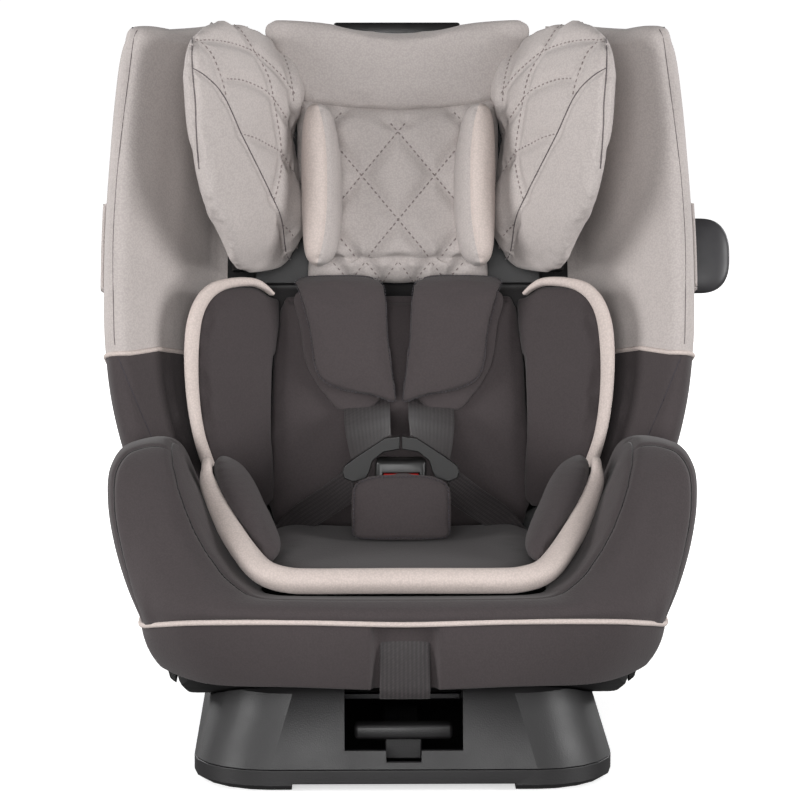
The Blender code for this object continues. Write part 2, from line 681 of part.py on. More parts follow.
def make_seat_bolsters(m, seat):
    start = RIM_Z + TOUCH
    shares = ((0.0, 0.0), (0.3, 0.0), (0.65, 0.0), (0.86, 0.036), (0.97, 0.18), (1.0, 0.33))
    rings = []
    for share, inset in shares:
        z = start + share * (BOLSTER_TOP - start)
        outer = BOLSTER_HALF_WIDTH - 0.023 * (1 - min(1.0, share / 0.6)) ** 2
        front = BOLSTER_FRONT_LOW + (BOLSTER_FRONT_HIGH - BOLSTER_FRONT_LOW) * share**2
        ring = rounded_ring((bolster_inner(z), outer), (front, wing_plane_y(z)), z, BOLSTER_CORNER, 5)
        rings.append(towards(ring, inset))
    for side, label in sides():
        loft(f"seat_bolster_{label}", mirrored(rings, side), m["dark_fabric"], seat)


def make_seat_insert(m, seat):
    half = INSERT_HALF_WIDTH
    z = (INSERT_TOP - INSERT_SEAT_THICKNESS, INSERT_TOP)
    box("insert_seat", (-half, half), (INSERT_FRONT, INSERT_REAR), z, m["dark_fabric"], seat, 0.005)
    levels = (
        # share of the height, thickness, distance of the front edge from the panel's, rear edge
        (0.0, THIGH_THICKNESS - 0.001, 0.0, -0.055),
        (0.35, THIGH_THICKNESS + 0.006, 0.004, -0.045),
        (0.7, THIGH_THICKNESS + 0.004, 0.022, -0.050),
        (0.93, THIGH_THICKNESS - 0.003, 0.050, -0.066),
        (1.0, THIGH_THICKNESS - 0.009, 0.062, -0.080),
    )
    rings = []
    for share, thickness, front, rear in levels:
        height = z[0] + share * (THIGH_TOP - z[0])
        outer = bolster_inner(height) - INSERT_GAP
        inner = max(outer - thickness, half + INSERT_GAP)
        rings.append(rounded_ring((inner, outer), (INSERT_FRONT + front, rear), height, 0.012, 4))
    for side, label in sides():
        loft(f"insert_thigh_{label}", mirrored(rings, side), m["dark_fabric"], seat)


def torso_section(share):
    """The torso wing's outline in (x, y), at the given share of its full reach."""
    root = INSERT_HALF_WIDTH + INSERT_GAP
    tip = root + (TORSO_WING_TIP - root) * share
    front = INSERT_BACK_FRONT + (TORSO_WING_FRONT - INSERT_BACK_FRONT) * share
    rear = BACK_CUSHION_FRONT - TOUCH
    return [
        (root, rear),
        (root, INSERT_BACK_FRONT),
        (root + 0.35 * (tip - root), INSERT_BACK_FRONT + 0.30 * (front - INSERT_BACK_FRONT) - 0.001),
        (tip - 0.016, front),
        (tip - 0.005, front - 0.003),
        (tip, front + 0.004),
        (tip - 0.002, front + 0.6 * TORSO_WING_THICKNESS),
        (root + 0.45 * (tip - root), rear - 0.002),
    ]


def make_back_insert(m, back):
    half = INSERT_HALF_WIDTH
    y = (INSERT_BACK_FRONT, BACK_CUSHION_FRONT - TOUCH)
    z = (INSERT_BACK_BOTTOM, INSERT_BACK_TOP)
    box("insert_back", (-half, half), y, z, m["dark_fabric"], back, 0.005)
    rise = INSERT_BACK_TOP - INSERT_BACK_BOTTOM
    levels = (
        # share of the insert's height, share of the wing's reach
        (0.12, 0.72), (0.26, 0.86), (0.55, 0.97), (0.77, 1.0), (0.93, 0.88), (1.02, 0.62), (1.045, 0.40),
    )
    rings = []
    for share, reach in levels:
        height = INSERT_BACK_BOTTOM + share * rise
        rings.append([(px, py, height) for px, py in torso_section(reach)])
    for side, label in sides():
        loft(f"insert_torso_{label}", mirrored(rings, side), m["dark_fabric"], back)


# =====================================================================================================
# Back padding
# =====================================================================================================
def wing_padding_ring(z):
    """A back wing's padding at height z: round the shell's edge, down its slanted face to its foot."""
    w = back_half_width(z)
    front = WING_FRONT_Y
    lip = front - WING_LIP
    root = w - WING_ROOT_INSET
    face = [(x - TOUCH, y - 2 * TOUCH) for x, y in back_section(z)]
    outline = [
        (w - TOUCH, front + 0.001),
        (w - TOUCH, front - TOUCH),
        (w + SHELL_WALL, front - TOUCH),
        (w + SHELL_WALL, lip + 0.004),
        (w - 0.003, lip),
        (w - 0.014, lip + 0.002),
        (w - 0.030, front + 0.008),
        (w - 0.054, front + 0.040),
        (root, 0.002),
        (root - 0.006, 0.014),
        (root - 0.006, BACK_WALL_Y - 0.0034),
        face[2],
        face[3],
        face[4],
        (w - TOUCH, face[5][1]),
    ]
    return [(x, y, z) for x, y in outline]


def make_back_wings(m, back):
    spans = {
        "lower": (WING_PADDING_BOTTOM, COLOUR_LINE - TOUCH, m["dark_fabric"]),
        "upper": (COLOUR_LINE + TOUCH, BACK_TOP, m["light_fabric"]),
    }
    for side, label in sides():
        for part, (low, high, finish) in spans.items():
            rings = [wing_padding_ring(z) for z in knots_between(low, high)]
            loft(f"back_wing_{part}_{label}", mirrored(rings, side), finish, back)
        x = (side * (WINDOW_HALF + CUT), side * (BACK_HALF_WIDTH + CUT))
        way = box(f"belt_way_{label}_cutter", x, BELT_WINDOW_Y, BELT_WINDOW_Z, None, back)
        cut(bpy.data.objects[f"back_wing_lower_{label}"], way)
        cut(bpy.data.objects["seat_shell"], way)


def make_back_cushion(m, back):
    y = (BACK_CUSHION_FRONT, BACK_CUSHION_FRONT + BACK_CUSHION_THICKNESS)
    rings = []
    for z in knots_between(BACK_CUSHION_BOTTOM, BACK_CUSHION_TOP):
        half = back_half_width(z) - WING_ROOT_INSET - 0.008
        rings.append(rounded_ring((-half, half), y, z, 0.004, 3))
    loft("back_cushion", rings, m["dark_fabric"], back)


# =====================================================================================================
# Headrest
# =====================================================================================================
def make_headrest_middle(m, slide):
    split = HEAD_HEIGHT - HEAD_TOP_PAD_HEIGHT
    pad_x = (-HEAD_PAD_HALF, HEAD_PAD_HALF)
    plate_x = (-HEAD_PLATE_HALF, HEAD_PLATE_HALF)
    plate_z = (0.0, HEAD_HEIGHT - 0.022)
    box("headrest_plate", plate_x, HEAD_PLATE_Y, plate_z, m["plastic"], slide, 0.0012, 1)
    centre_y = (HEAD_PAD_FRONT, HEAD_PAD_REAR)
    box("headrest_centre_pad", pad_x, centre_y, (0.002, split - TOUCH), m["light_fabric"], slide, 0.005)
    top_y = (HEAD_PAD_FRONT - HEAD_TOP_PAD_LIP, HEAD_PAD_REAR)
    top_z = (split + TOUCH, HEAD_HEIGHT)
    top_pad = box("headrest_top_pad", pad_x, top_y, top_z, m["light_fabric"], slide, 0.007)
    notch_x = (-LEVER_HALF_WIDTH, LEVER_HALF_WIDTH)
    notch_z = (HEAD_HEIGHT - 0.010, HEAD_HEIGHT + CUT)
    notch_y = (top_y[0] - CUT, top_y[1] + CUT)
    cut(top_pad, box("lever_notch_cutter", notch_x, notch_y, notch_z, None, slide))


def make_lever(m, slide):
    """A bar that the fingers hook under, on a stem behind the headrest plate."""
    y = (HEAD_PLATE_Y[1] + SLIDE, HEAD_PLATE_Y[1] + SLIDE + LEVER_THICKNESS)
    top = HEAD_HEIGHT + LEVER_RISE
    bar_x = (-LEVER_HALF_WIDTH, LEVER_HALF_WIDTH)
    bar_z = (top - LEVER_BAR_HEIGHT, top)
    lever = box("headrest_lever", bar_x, y, bar_z, m["plastic"], slide, 0.0025)
    stem_x = (-LEVER_STEM_HALF, LEVER_STEM_HALF)
    stem_y = (y[0] + 0.001, y[1] - 0.001)
    join(lever, box("lever_stem_guide", stem_x, stem_y, (top - LEVER_HEIGHT, top - 0.004), None, slide))


def wing_ring(share, size, reach):
    """A headrest wing's outline at a share of its height: a rounded slab that leans out to the front."""
    root = HEAD_PAD_HALF + 2 * SLIDE
    tip = BACK_HALF_WIDTH - HEAD_WING_CLEARANCE
    depth = HEAD_WING_REAR - HEAD_WING_FRONT
    z = share * (HEAD_HEIGHT + 0.009) - 0.004
    middle_y = HEAD_WING_FRONT + 0.5 * depth + 0.25 * depth * (1 - reach)
    middle = Vector(((root + tip) / 2 + 0.008 * (share - 0.4), middle_y))
    lean = math.atan2(tip - root - 0.6 * HEAD_WING_THICKNESS, depth - 0.6 * HEAD_WING_THICKNESS)
    along = Vector((math.sin(lean), -math.cos(lean)))
    across = Vector((math.cos(lean), math.sin(lean)))
    length = 0.51 * size * (depth / math.cos(lean) - 0.5 * HEAD_WING_THICKNESS)
    half = 0.5 * size * HEAD_WING_THICKNESS
    ring = []
    for t in np.linspace(0, 2 * math.pi, 14, endpoint=False):
        c = math.copysign(abs(math.cos(t)) ** 0.8, math.cos(t))
        s = math.copysign(abs(math.sin(t)) ** 0.8, math.sin(t))
        point = middle + along * (length * c) + across * (half * s)
        ring.append((max(point.x, root), min(point.y, HEAD_PAD_REAR), z))
    return ring


def make_headrest_wings(m, slide):
    levels = (
        # share of the height, size, reach to the front
        (0.0, 0.22, 0.30), (0.03, 0.52, 0.38), (0.10, 0.74, 0.55), (0.22, 0.90, 0.78), (0.42, 1.0, 0.96),
        (0.62, 1.0, 1.0), (0.80, 0.96, 0.97), (0.92, 0.80, 0.86), (0.98, 0.52, 0.66), (1.0, 0.25, 0.50),
    )
    rings = [wing_ring(*level) for level in levels]
    for side, label in sides():
        loft(f"headrest_wing_{label}", mirrored(rings, side), m["light_fabric"], slide)


def make_head_bolsters(m, slide):
    low, high = HEAD_BOLSTER_Z
    half = (HEAD_BOLSTER_X[1] - HEAD_BOLSTER_X[0]) / 2
    rings = []
    for share, inset in ((0.0, 0.5), (0.05, 0.15), (0.18, 0.0), (0.82, 0.0), (0.95, 0.15), (1.0, 0.5)):
        shrink = inset * half
        x = (HEAD_BOLSTER_X[0] + shrink, HEAD_BOLSTER_X[1] - shrink)
        y = (HEAD_BOLSTER_FRONT + shrink, HEAD_PAD_FRONT - TOUCH)
        rings.append(rounded_ring(x, y, low + share * (high - low), 0.011, 4))
    for side, label in sides():
        loft(f"head_bolster_{label}", mirrored(rings, side), m["light_fabric"], slide)


def make_belt_guides(m, slide):
    """A hook at each end of the headrest plate, for the vehicle's shoulder belt."""
    x = HEAD_PLATE_HALF + 3 * TOUCH
    y = HEAD_PLATE_Y[0] - 0.012
    outline = (
        (0.0, 0.0), (0.014, -0.004), (0.018, 0.004), (0.015, 0.013),
        (0.009, 0.011), (0.011, 0.004), (0.0, 0.008),
    )
    rings = [[(x + px, y + py, z) for px, py in outline] for z in GUIDE_Z]
    for side, label in sides():
        loft(f"belt_guide_{label}", mirrored(rings, side), m["plastic"], slide)


def make_shoulder_pads(m, slide):
    rear = STRAP_LIE - WEBBING_THICKNESS / 2 - 2 * TOUCH
    inner, outer = SHOULDER_PAD_X
    rings = []
    insets = ((0.0, 0.0, 0.0), (0.5, 0.001, 0.006), (0.85, 0.003, 0.018), (1.0, 0.004, 0.042))
    for share, low_in, low_out in insets:
        x = (inner - low_in, outer - low_out)
        y = (rear - SHOULDER_PAD_THICKNESS, rear)
        rings.append(rounded_ring(x, y, -share * SHOULDER_PAD_LENGTH, 0.004, 3))
    for side, label in sides():
        loft(f"shoulder_pad_{label}", mirrored(rings, side), m["dark_fabric"], slide)


def make_headrest(m, back):
    slide = empty("headrest_slide", (0, 0, HEAD_BOTTOM), (0, 0, 0), back)
    make_headrest_middle(m, slide)
    make_lever(m, slide)
    make_headrest_wings(m, slide)
    make_head_bolsters(m, slide)
    make_belt_guides(m, slide)
    make_shoulder_pads(m, slide)


# =====================================================================================================
# Harness
# =====================================================================================================
def make_shoulder_straps(m, seat):
    """From the yoke, through the slot above the back cushion, down under the pad and to the tongue."""
    behind = BEHIND_SHELL_Y - YOKE_THICKNESS / 2 - WEBBING_THICKNESS
    run = (
        (0.036, behind, 0.1775),
        (0.038, behind, HARNESS_SLOT_Z - 0.003),
        (0.039, behind - 0.003, HARNESS_SLOT_Z),
        (0.041, STRAP_LIE + 0.004, HARNESS_SLOT_Z),
        (0.042, STRAP_LIE, HARNESS_SLOT_Z - 0.004),
        (0.034, STRAP_LIE, 0.150),
        (0.027, STRAP_LIE, 0.100),
    )
    path = [back_to_world(*point) for point in run]
    path += [(0.0265, 0.028, 0.2530), (0.026, -0.006, 0.2455), (0.0255, TONGUE_Y[1] + 0.004, 0.2425)]
    for side, label in sides():
        points = mirrored([path], side)[0]
        name = f"shoulder_strap_{label}"
        ribbon(name, points, (1, 0, 0), WEBBING_WIDTH, WEBBING_THICKNESS, m["webbing"], seat)


def make_lap_straps(m, seat):
    path = [
        (0.0400, TONGUE_Y[1] + 0.003, 0.2165),
        (0.059, -0.022, 0.206),
        (0.078, 0.0, 0.196),
        (0.0835, 0.014, 0.1905),
    ]
    for side, label in sides():
        points = mirrored([path], side)[0]
        across = (side * 0.35, 0.25, 0.9)
        ribbon(f"lap_strap_{label}", points, across, LAP_WIDTH, WEBBING_THICKNESS, m["webbing"], seat)


def make_tongues(m, seat):
    """The two tongues meet over the buckle and make an arch."""
    middle = SLIDE / 2
    outline = [
        (middle, 0.2525), (0.0125, 0.251), (0.0245, 0.243), (0.036, 0.2355), (0.0452, 0.2285),
        (0.047, 0.2235), (0.0455, 0.2185), (0.0385, 0.2155), (0.028, 0.2180), (0.0250, 0.2240),
        (0.0225, 0.2325), (0.0140, 0.2395), (middle, 0.2420),
    ]
    for side, label in sides():
        mirror = [(side * x, z) for x, z in outline]
        plate(f"harness_tongue_{label}", mirror, TONGUE_Y, m["plastic"], seat)


def make_buckle(m, seat):
    half = BUCKLE_HALF_WIDTH
    z = (BUCKLE_BOTTOM, BUCKLE_TOP)
    buckle = box("buckle_body", (-half, half), BUCKLE_Y, z, m["plastic"], seat, 0.004)
    front = BUCKLE_Y[0]
    well_x = (-BUTTON_HALF_WIDTH - BUTTON_GAP, BUTTON_HALF_WIDTH + BUTTON_GAP)
    well_y = (front - CUT, front + 0.006 + BUTTON_TRAVEL)
    well_z = (BUTTON_Z[0] - BUTTON_GAP, BUTTON_Z[1] + BUTTON_GAP)
    cut(buckle, box("button_well_cutter", well_x, well_y, well_z))
    button_x = (-BUTTON_HALF_WIDTH, BUTTON_HALF_WIDTH)
    box("buckle_button", button_x, (front - 0.003, front + 0.005), BUTTON_Z, m["red"], seat, 0.0015)
    strap_y = sum(BUCKLE_Y) / 2
    path = [(0, strap_y, INSERT_TOP + TOUCH), (0, strap_y, BUCKLE_BOTTOM - TOUCH)]
    thickness = 1.5 * WEBBING_THICKNESS
    ribbon("crotch_strap", path, (1, 0, 0), CROTCH_STRAP_WIDTH, thickness, m["webbing"], seat)
    pad_x = (-CROTCH_PAD_HALF, CROTCH_PAD_HALF)
    pad_rear = front - CROTCH_PAD_GAP
    pad_z = (INSERT_TOP + TOUCH, CROTCH_PAD_TOP)
    pad_y = (pad_rear - CROTCH_PAD_THICKNESS, pad_rear)
    box("crotch_pad", pad_x, pad_y, pad_z, m["dark_fabric"], seat, 0.004)


def adjuster_front():
    """The adjuster's front face, clear of the pan's leaning front wall at the adjuster's foot."""
    return pan_front(ADJUSTER_STRAP_Z - 0.025) + SHELL_WALL + SLIDE


def make_adjuster(m, seat):
    """The harness tightener behind the bucket's front wall. Its pull strap hangs in the apron's channel."""
    front = adjuster_front()
    z = (ADJUSTER_STRAP_Z - 0.025, ADJUSTER_STRAP_Z + 0.009)
    x = (-ADJUSTER_HALF, ADJUSTER_HALF)
    housing = box("adjuster_housing", x, (front, front + ADJUSTER_DEPTH), z, m["plastic"], seat, 0.002, 1)
    slot_x = (-NOTCH_HALF, NOTCH_HALF)
    slot_z = (ADJUSTER_STRAP_Z - SLOT_HALF_HEIGHT, ADJUSTER_STRAP_Z + SLOT_HALF_HEIGHT)
    cut(housing, box("adjuster_slot_cutter", slot_x, (front - CUT, front + 0.028), slot_z))
    button_y = (front + 0.0305, front + 0.0375)
    well = ADJUSTER_BUTTON_HALF + BUTTON_GAP
    well_y = (button_y[0] - BUTTON_GAP, button_y[1] + BUTTON_GAP)
    cut(housing, box("adjuster_well_cutter", (-well, well), well_y, (z[1] - 0.010, z[1] + CUT)))
    button_x = (-ADJUSTER_BUTTON_HALF, ADJUSTER_BUTTON_HALF)
    button_z = (z[1] - 0.005, z[1] + 0.006)
    box("adjuster_button", button_x, button_y, button_z, m["red"], seat, 0.001, 1)
    hang = PAN_FRONT - 0.0035
    exit_z = ADJUSTER_STRAP_Z
    path = [
        (0, front + 0.024, exit_z),
        (0, front, exit_z),
        (0, hang + 0.0015, exit_z - 0.0005),
        (0, hang, exit_z - 0.003),
        (0, hang + 0.0012, 0.118),
        (0, hang + 0.009, 0.0955),
        (0, hang + 0.013, 0.0890),
        (0, hang + 0.022, 0.0848),
        (0, hang + 0.036, 0.0835),
    ]
    across = (1, 0, 0)
    ribbon("adjuster_strap", path, across, ADJUSTER_STRAP_WIDTH, WEBBING_THICKNESS, m["webbing"], seat)


# =====================================================================================================
# Side pods and hooks
# =====================================================================================================
def make_pod(name, m, axis):
    """A rounded paddle that reaches forward from its hinge pin, with a pin stub at each end."""
    r = POD_THICKNESS / 2
    reach = POD_LENGTH - r
    half = POD_HEIGHT / 2
    rear = [(r * math.cos(a), r * math.sin(a)) for a in np.linspace(0, math.pi, 7)]
    outline = rear + [(-x, -y - reach) for x, y in rear]
    levels = [(half - 0.008, 0.0), (half - 0.003, 0.08), (half, 0.30)]
    levels = [(-z, inset) for z, inset in levels[::-1]] + levels
    rings = [[(x * (1 - inset), y * (1 - 0.35 * inset), z) for x, y in outline] for z, inset in levels]
    pod = loft(name, rings, m["plastic"], axis)
    length = POD_HEIGHT + 2 * POD_PIN_LENGTH
    join(pod, cylinder(f"{name}_pin_guide", POD_PIN_RADIUS, length, (0, 0, 0), parent=axis))


def grown(spans, margin):
    return [(low - margin, high + margin) for low, high in spans]


def make_pod_housing(label, side, face, m, back):
    """The pocket that a pod folds into, set in the shell's side and its padding."""
    pocket_x = (face - POD_THICKNESS - SLIDE, face + CUT)
    pocket_y = (POD_Y - POD_LENGTH - SLIDE, POD_Y + POD_THICKNESS / 2 + SLIDE)
    pocket_z = (POD_Z - POD_HEIGHT / 2 - SLIDE, POD_Z + POD_HEIGHT / 2 + SLIDE)
    wall = POD_HOUSING_WALL
    outer_x = (side * (pocket_x[0] - wall), side * face)
    outer = grown((pocket_y, pocket_z), wall)
    housing = box(f"pod_housing_{label}", outer_x, *outer, m["plastic"], back)
    pocket_span = (side * pocket_x[0], side * pocket_x[1])
    cut(housing, box(f"pod_pocket_{label}_cutter", pocket_span, pocket_y, pocket_z, None, back))
    bore_length = POD_HEIGHT + 2 * POD_PIN_LENGTH + 2 * TOUCH
    centre = (side * (face - POD_THICKNESS / 2), POD_Y, POD_Z)
    radius = POD_PIN_RADIUS + TOUCH
    cut(housing, cylinder(f"pod_bore_{label}_cutter", radius, bore_length, centre, parent=back))
    room = grown((pocket_y, pocket_z), wall + TOUCH)
    room_x = (side * (pocket_x[0] - wall - TOUCH), side * (face + 3 * CUT))
    socket = box(f"pod_socket_{label}_cutter", room_x, *room, None, back)
    cut(bpy.data.objects["seat_shell"], socket)
    cut(bpy.data.objects[f"back_wing_upper_{label}"], socket)


def make_pods(m, back):
    """The right pod is folded out and the left one is in."""
    face = back_half_width(POD_Z) + SHELL_WALL
    for side, label in sides():
        location = (side * (face - POD_THICKNESS / 2), POD_Y, POD_Z)
        turn = POD_SWING if label == "right" else 0.0
        axis = empty(f"pod_axis_{label}", location, (0, 0, turn), back)
        make_pod(f"side_pod_{label}", m, axis)
        make_pod_housing(label, side, face, m, back)


def make_hooks(m, seat):
    """A hook below each side of the apron that leads the vehicle's lap belt."""
    x = PAN_HALF_WIDTH - 0.0130
    top = APRON_BOTTOM - SLIDE
    outline = (
        (0.0, 0.0), (0.005, 0.0), (0.008, -0.0075), (0.005, -0.0185), (0.0, -0.0225), (0.0, -0.0165),
    )
    rings = [[(x + px, y, top + pz) for px, pz in outline] for y in HOOK_Y]
    for side, label in sides():
        loft(f"belt_hook_{label}", mirrored(rings, side), m["plastic"], seat)


def materials():
    return {
        "plastic": material("satin black polypropylene", (0.030, 0.030, 0.032), 0.45),
        "rubber": material("black rubber", (0.02, 0.02, 0.02), 0.85),
        "steel": material("zinc-plated steel", (0.55, 0.55, 0.56), 0.35, 1.0),
        "dark_fabric": material("charcoal knitted polyester", (0.060, 0.053, 0.055), 0.9),
        "light_fabric": material("warm grey knitted polyester", (0.36, 0.33, 0.32), 0.9),
        "webbing": material("woven black webbing", (0.035, 0.033, 0.034), 0.8),
        "red": material("red acetal", (0.55, 0.02, 0.02), 0.4),
    }


def main():
    clear_scene()
    m = materials()
    axis = empty("recline_axis", (0, RECLINE_Y, RECLINE_Z))
    seat = empty("seat_frame", (0, -RECLINE_Y, -RECLINE_Z), parent=axis)
    back = empty("back_frame", (0, BIGHT_Y, BIGHT_Z), (-BACK_ANGLE, 0, 0), seat)
    make_base_tray(m)
    make_base_cover(m)
    make_recline_handle(m)
    make_keel(m, seat)
    make_shell(m, seat, back)
    make_rear_cover(m, back)
    make_harness_yoke(m, back)
    make_headrest_rods(m, back)
    make_seat_cushion(m, seat)
    make_front_apron(m, seat)
    make_seat_bolsters(m, seat)
    make_seat_insert(m, seat)
    make_back_insert(m, back)
    make_back_wings(m, back)
    make_back_cushion(m, back)
    make_headrest(m, back)
    make_shoulder_straps(m, seat)
    make_lap_straps(m, seat)
    make_tongues(m, seat)
    make_buckle(m, seat)
    make_adjuster(m, seat)
    make_pods(m, back)
    make_hooks(m, seat)


main()
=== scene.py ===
"""Convertible child car seat: covers, pads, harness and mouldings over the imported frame.

Metres, +Z up, the child faces -Y. The back frame starts at the bight, where seat and back meet: its z
runs up the back and its y to the rear. Pieces that come in pairs are drawn for +X and mirrored.
"""

import json
import math

import bmesh
import bpy
import numpy as np
from bpy.props import FloatProperty, FloatVectorProperty, PointerProperty
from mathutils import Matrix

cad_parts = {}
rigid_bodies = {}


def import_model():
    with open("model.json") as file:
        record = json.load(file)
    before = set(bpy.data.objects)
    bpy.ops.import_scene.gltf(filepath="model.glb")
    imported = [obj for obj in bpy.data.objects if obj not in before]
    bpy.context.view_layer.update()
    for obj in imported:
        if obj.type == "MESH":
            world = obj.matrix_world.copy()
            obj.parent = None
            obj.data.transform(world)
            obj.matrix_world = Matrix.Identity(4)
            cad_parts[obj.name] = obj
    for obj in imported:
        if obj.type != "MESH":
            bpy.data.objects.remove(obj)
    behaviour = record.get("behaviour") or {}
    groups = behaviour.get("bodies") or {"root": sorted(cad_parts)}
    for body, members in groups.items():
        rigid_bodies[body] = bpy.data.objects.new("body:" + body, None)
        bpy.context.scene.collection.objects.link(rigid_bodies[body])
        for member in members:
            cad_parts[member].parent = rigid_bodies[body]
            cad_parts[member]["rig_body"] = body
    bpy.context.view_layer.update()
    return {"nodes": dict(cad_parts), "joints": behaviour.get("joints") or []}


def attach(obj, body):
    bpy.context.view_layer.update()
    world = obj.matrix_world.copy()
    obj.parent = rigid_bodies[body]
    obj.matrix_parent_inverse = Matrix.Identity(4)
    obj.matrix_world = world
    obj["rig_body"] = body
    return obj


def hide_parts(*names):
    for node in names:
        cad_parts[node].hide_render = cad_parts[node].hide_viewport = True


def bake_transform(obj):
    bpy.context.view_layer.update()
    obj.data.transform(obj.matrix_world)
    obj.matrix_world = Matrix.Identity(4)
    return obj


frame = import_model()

bl_info = {
    "name": "Convertible car seat",
    "version": (1, 0, 0),
    "blender": (4, 5, 0),
    "location": "3D View > Sidebar > Car seat",
    "description": "Covers, pads, harness and mouldings of a convertible child car seat",
    "category": "Object",
}

SIDES = ((-1, "left"), (1, "right"))
JOINTS = {joint["name"]: joint for joint in frame["joints"]}
BACK_UP = np.array(JOINTS["headrest_height"]["axis"], float)  # the way the headrest slides
BACK_REAR = np.array((0.0, BACK_UP[2], -BACK_UP[1]))
BIGHT = np.array((0.0, 0.050, 0.155))


# =====================================================================================================
# Shapes
# =====================================================================================================
def from_back(points):
    """Points of the back frame in the frame of the whole seat: x, then y times rear, z times up."""
    p = np.asarray(points, float)
    return BIGHT + p[..., :1] * np.array((1.0, 0, 0)) + p[..., 1:2] * BACK_REAR + p[..., 2:] * BACK_UP


def to_back(points):
    """The reverse of from_back."""
    p = np.asarray(points, float) - BIGHT
    return np.stack((p[..., 0], p @ BACK_REAR, p @ BACK_UP), -1)


def spline(points, count, axis=0, closed=False):
    """A Catmull-Rom curve through points: a cubic between each two, whose slope at a point is half the
    step between that point's neighbours."""
    p = np.moveaxis(np.asarray(points, float), axis, 0)
    n = len(p)
    t = np.linspace(0, n if closed else n - 1, count, endpoint=not closed)
    i = np.minimum(t.astype(int), n - 1 if closed else n - 2)
    f = (t - i).reshape(-1, *([1] * (p.ndim - 1)))
    ends = (p[-1:], p, p[:2]) if closed else (2 * p[:1] - p[1:2], p, 2 * p[-1:] - p[-2:-1])
    q = np.concatenate(ends)
    a, b, c, d = q[i], q[i + 1], q[i + 2], q[i + 3]
    bend = (2 * a - 5 * b + 4 * c - d) * f**2 + (3 * b - a - 3 * c + d) * f**3
    return np.moveaxis(0.5 * (2 * b + (c - a) * f + bend), 0, axis)


def evenly(points, count):
    """The same curve with points at equal steps along its length."""
    p = np.asarray(points, float)
    run = np.concatenate(([0], np.cumsum(np.linalg.norm(np.diff(p, axis=0), axis=1))))
    at = np.linspace(0, run[-1], count)
    return np.stack([np.interp(at, run, p[:, k]) for k in range(p.shape[1])], -1)


def length_of(points):
    """The sum of the straight steps from each point to the next."""
    return float(np.linalg.norm(np.diff(points, axis=0), axis=1).sum())


def flipped(points, side):
    """Points drawn for the +X side, or their mirror image."""
    return np.asarray(points, float) * (side, 1, 1)


def whole(half):
    """A curve or a net from the middle plane out, joined to its mirror image."""
    half = np.asarray(half, float)
    return np.concatenate((flipped(half[:0:-1], -1), half))


def grid_mesh(name, grid, wrap=False):
    """Quads over a grid of points, row by row and column by column. wrap joins the last column to the
    first. Rows that shrink to a point are welded there."""
    rows, columns = grid.shape[:2]
    index = np.arange(rows * columns).reshape(rows, columns)
    if wrap:
        index = np.hstack((index, index[:, :1]))
    corners = (index[:-1, :-1], index[:-1, 1:], index[1:, 1:], index[1:, :-1])
    quads = np.stack(corners, -1).reshape(-1, 4)
    mesh = bpy.data.meshes.new(name)
    mesh.from_pydata(grid.reshape(-1, 3).tolist(), [], quads.tolist())
    bm = bmesh.new()
    bm.from_mesh(mesh)
    bmesh.ops.remove_doubles(bm, verts=bm.verts[:], dist=1e-6)
    bmesh.ops.recalc_face_normals(bm, faces=bm.faces[:])
    bm.to_mesh(mesh)
    bm.free()
    mesh.shade_smooth()
    return mesh


def add_piece(name, mesh, finish):
    """An object at the origin that holds the mesh and wears the finish."""
    made = bpy.data.objects.new(name, mesh)
    bpy.context.scene.collection.objects.link(made)
    made.data.materials.append(finish)
    return made


def closed_piece(name, grid, finish, wrap=True):
    """A piece whose grid closes on itself, so it has an inside."""
    return add_piece(name, grid_mesh(name, grid, wrap), finish)


def skin_piece(name, grid, finish, outward, thickness=0.0025):
    """An open sheet whose faces look along outward, given its cloth's thickness on the inner side."""
    mesh = grid_mesh(name, grid)
    normals = read(mesh, "normals")
    if (normals @ np.asarray(outward, float)).sum() < 0:
        mesh.flip_normals()
    made = add_piece(name, mesh, finish)
    wall = made.modifiers.new("cloth thickness", "SOLIDIFY")
    wall.thickness = thickness
    wall.offset = -1.0
    return made


def read(mesh, what="points"):
    """The mesh's points, or its point normals, as an array."""
    values = np.empty(len(mesh.vertices) * 3, np.float32)
    if what == "points":
        mesh.vertices.foreach_get("co", values)
    else:
        mesh.vertex_normals.foreach_get("vector", values)
    return values.reshape(-1, 3).astype(float)


def write(mesh, points):
    """Puts the points back into the mesh."""
    mesh.vertices.foreach_set("co", np.ascontiguousarray(points, np.float32).ravel())
    mesh.update()


def settle(piece):
    """The piece with its modifiers worked into its mesh."""
    bpy.context.view_layer.update()
    graph = bpy.context.evaluated_depsgraph_get()
    old = piece.data
    piece.data = bpy.data.meshes.new_from_object(piece.evaluated_get(graph))
    piece.data.name = piece.name
    piece.modifiers.clear()
    bpy.data.meshes.remove(old)
    piece.data.shade_smooth()
    return piece


def pillow(outline, middle, half, square=2.6, around=120, rings=25):
    """A closed pad. Each ring is the outline shrunk towards its own middle by r, at a depth of d times
    half in front of or behind the middle surface, where r and d follow |r|^square + |d|^square = 1."""
    edge = np.asarray(outline, float)
    edge = evenly(np.concatenate((edge, edge[:1])), around + 1)[:-1]
    centre = edge.mean(axis=0)
    angle = np.linspace(0, math.pi, rings)
    r = np.sin(angle) ** (2 / square)
    d = np.sign(np.cos(angle)) * np.abs(np.cos(angle)) ** (2 / square)
    r[[0, -1]] = 0.0
    flat = centre + r[:, None, None] * (edge - centre)
    x, z = flat[..., 0], flat[..., 1]
    y = middle(x, z) - d[:, None] * half
    return np.stack((x, y, z), -1)


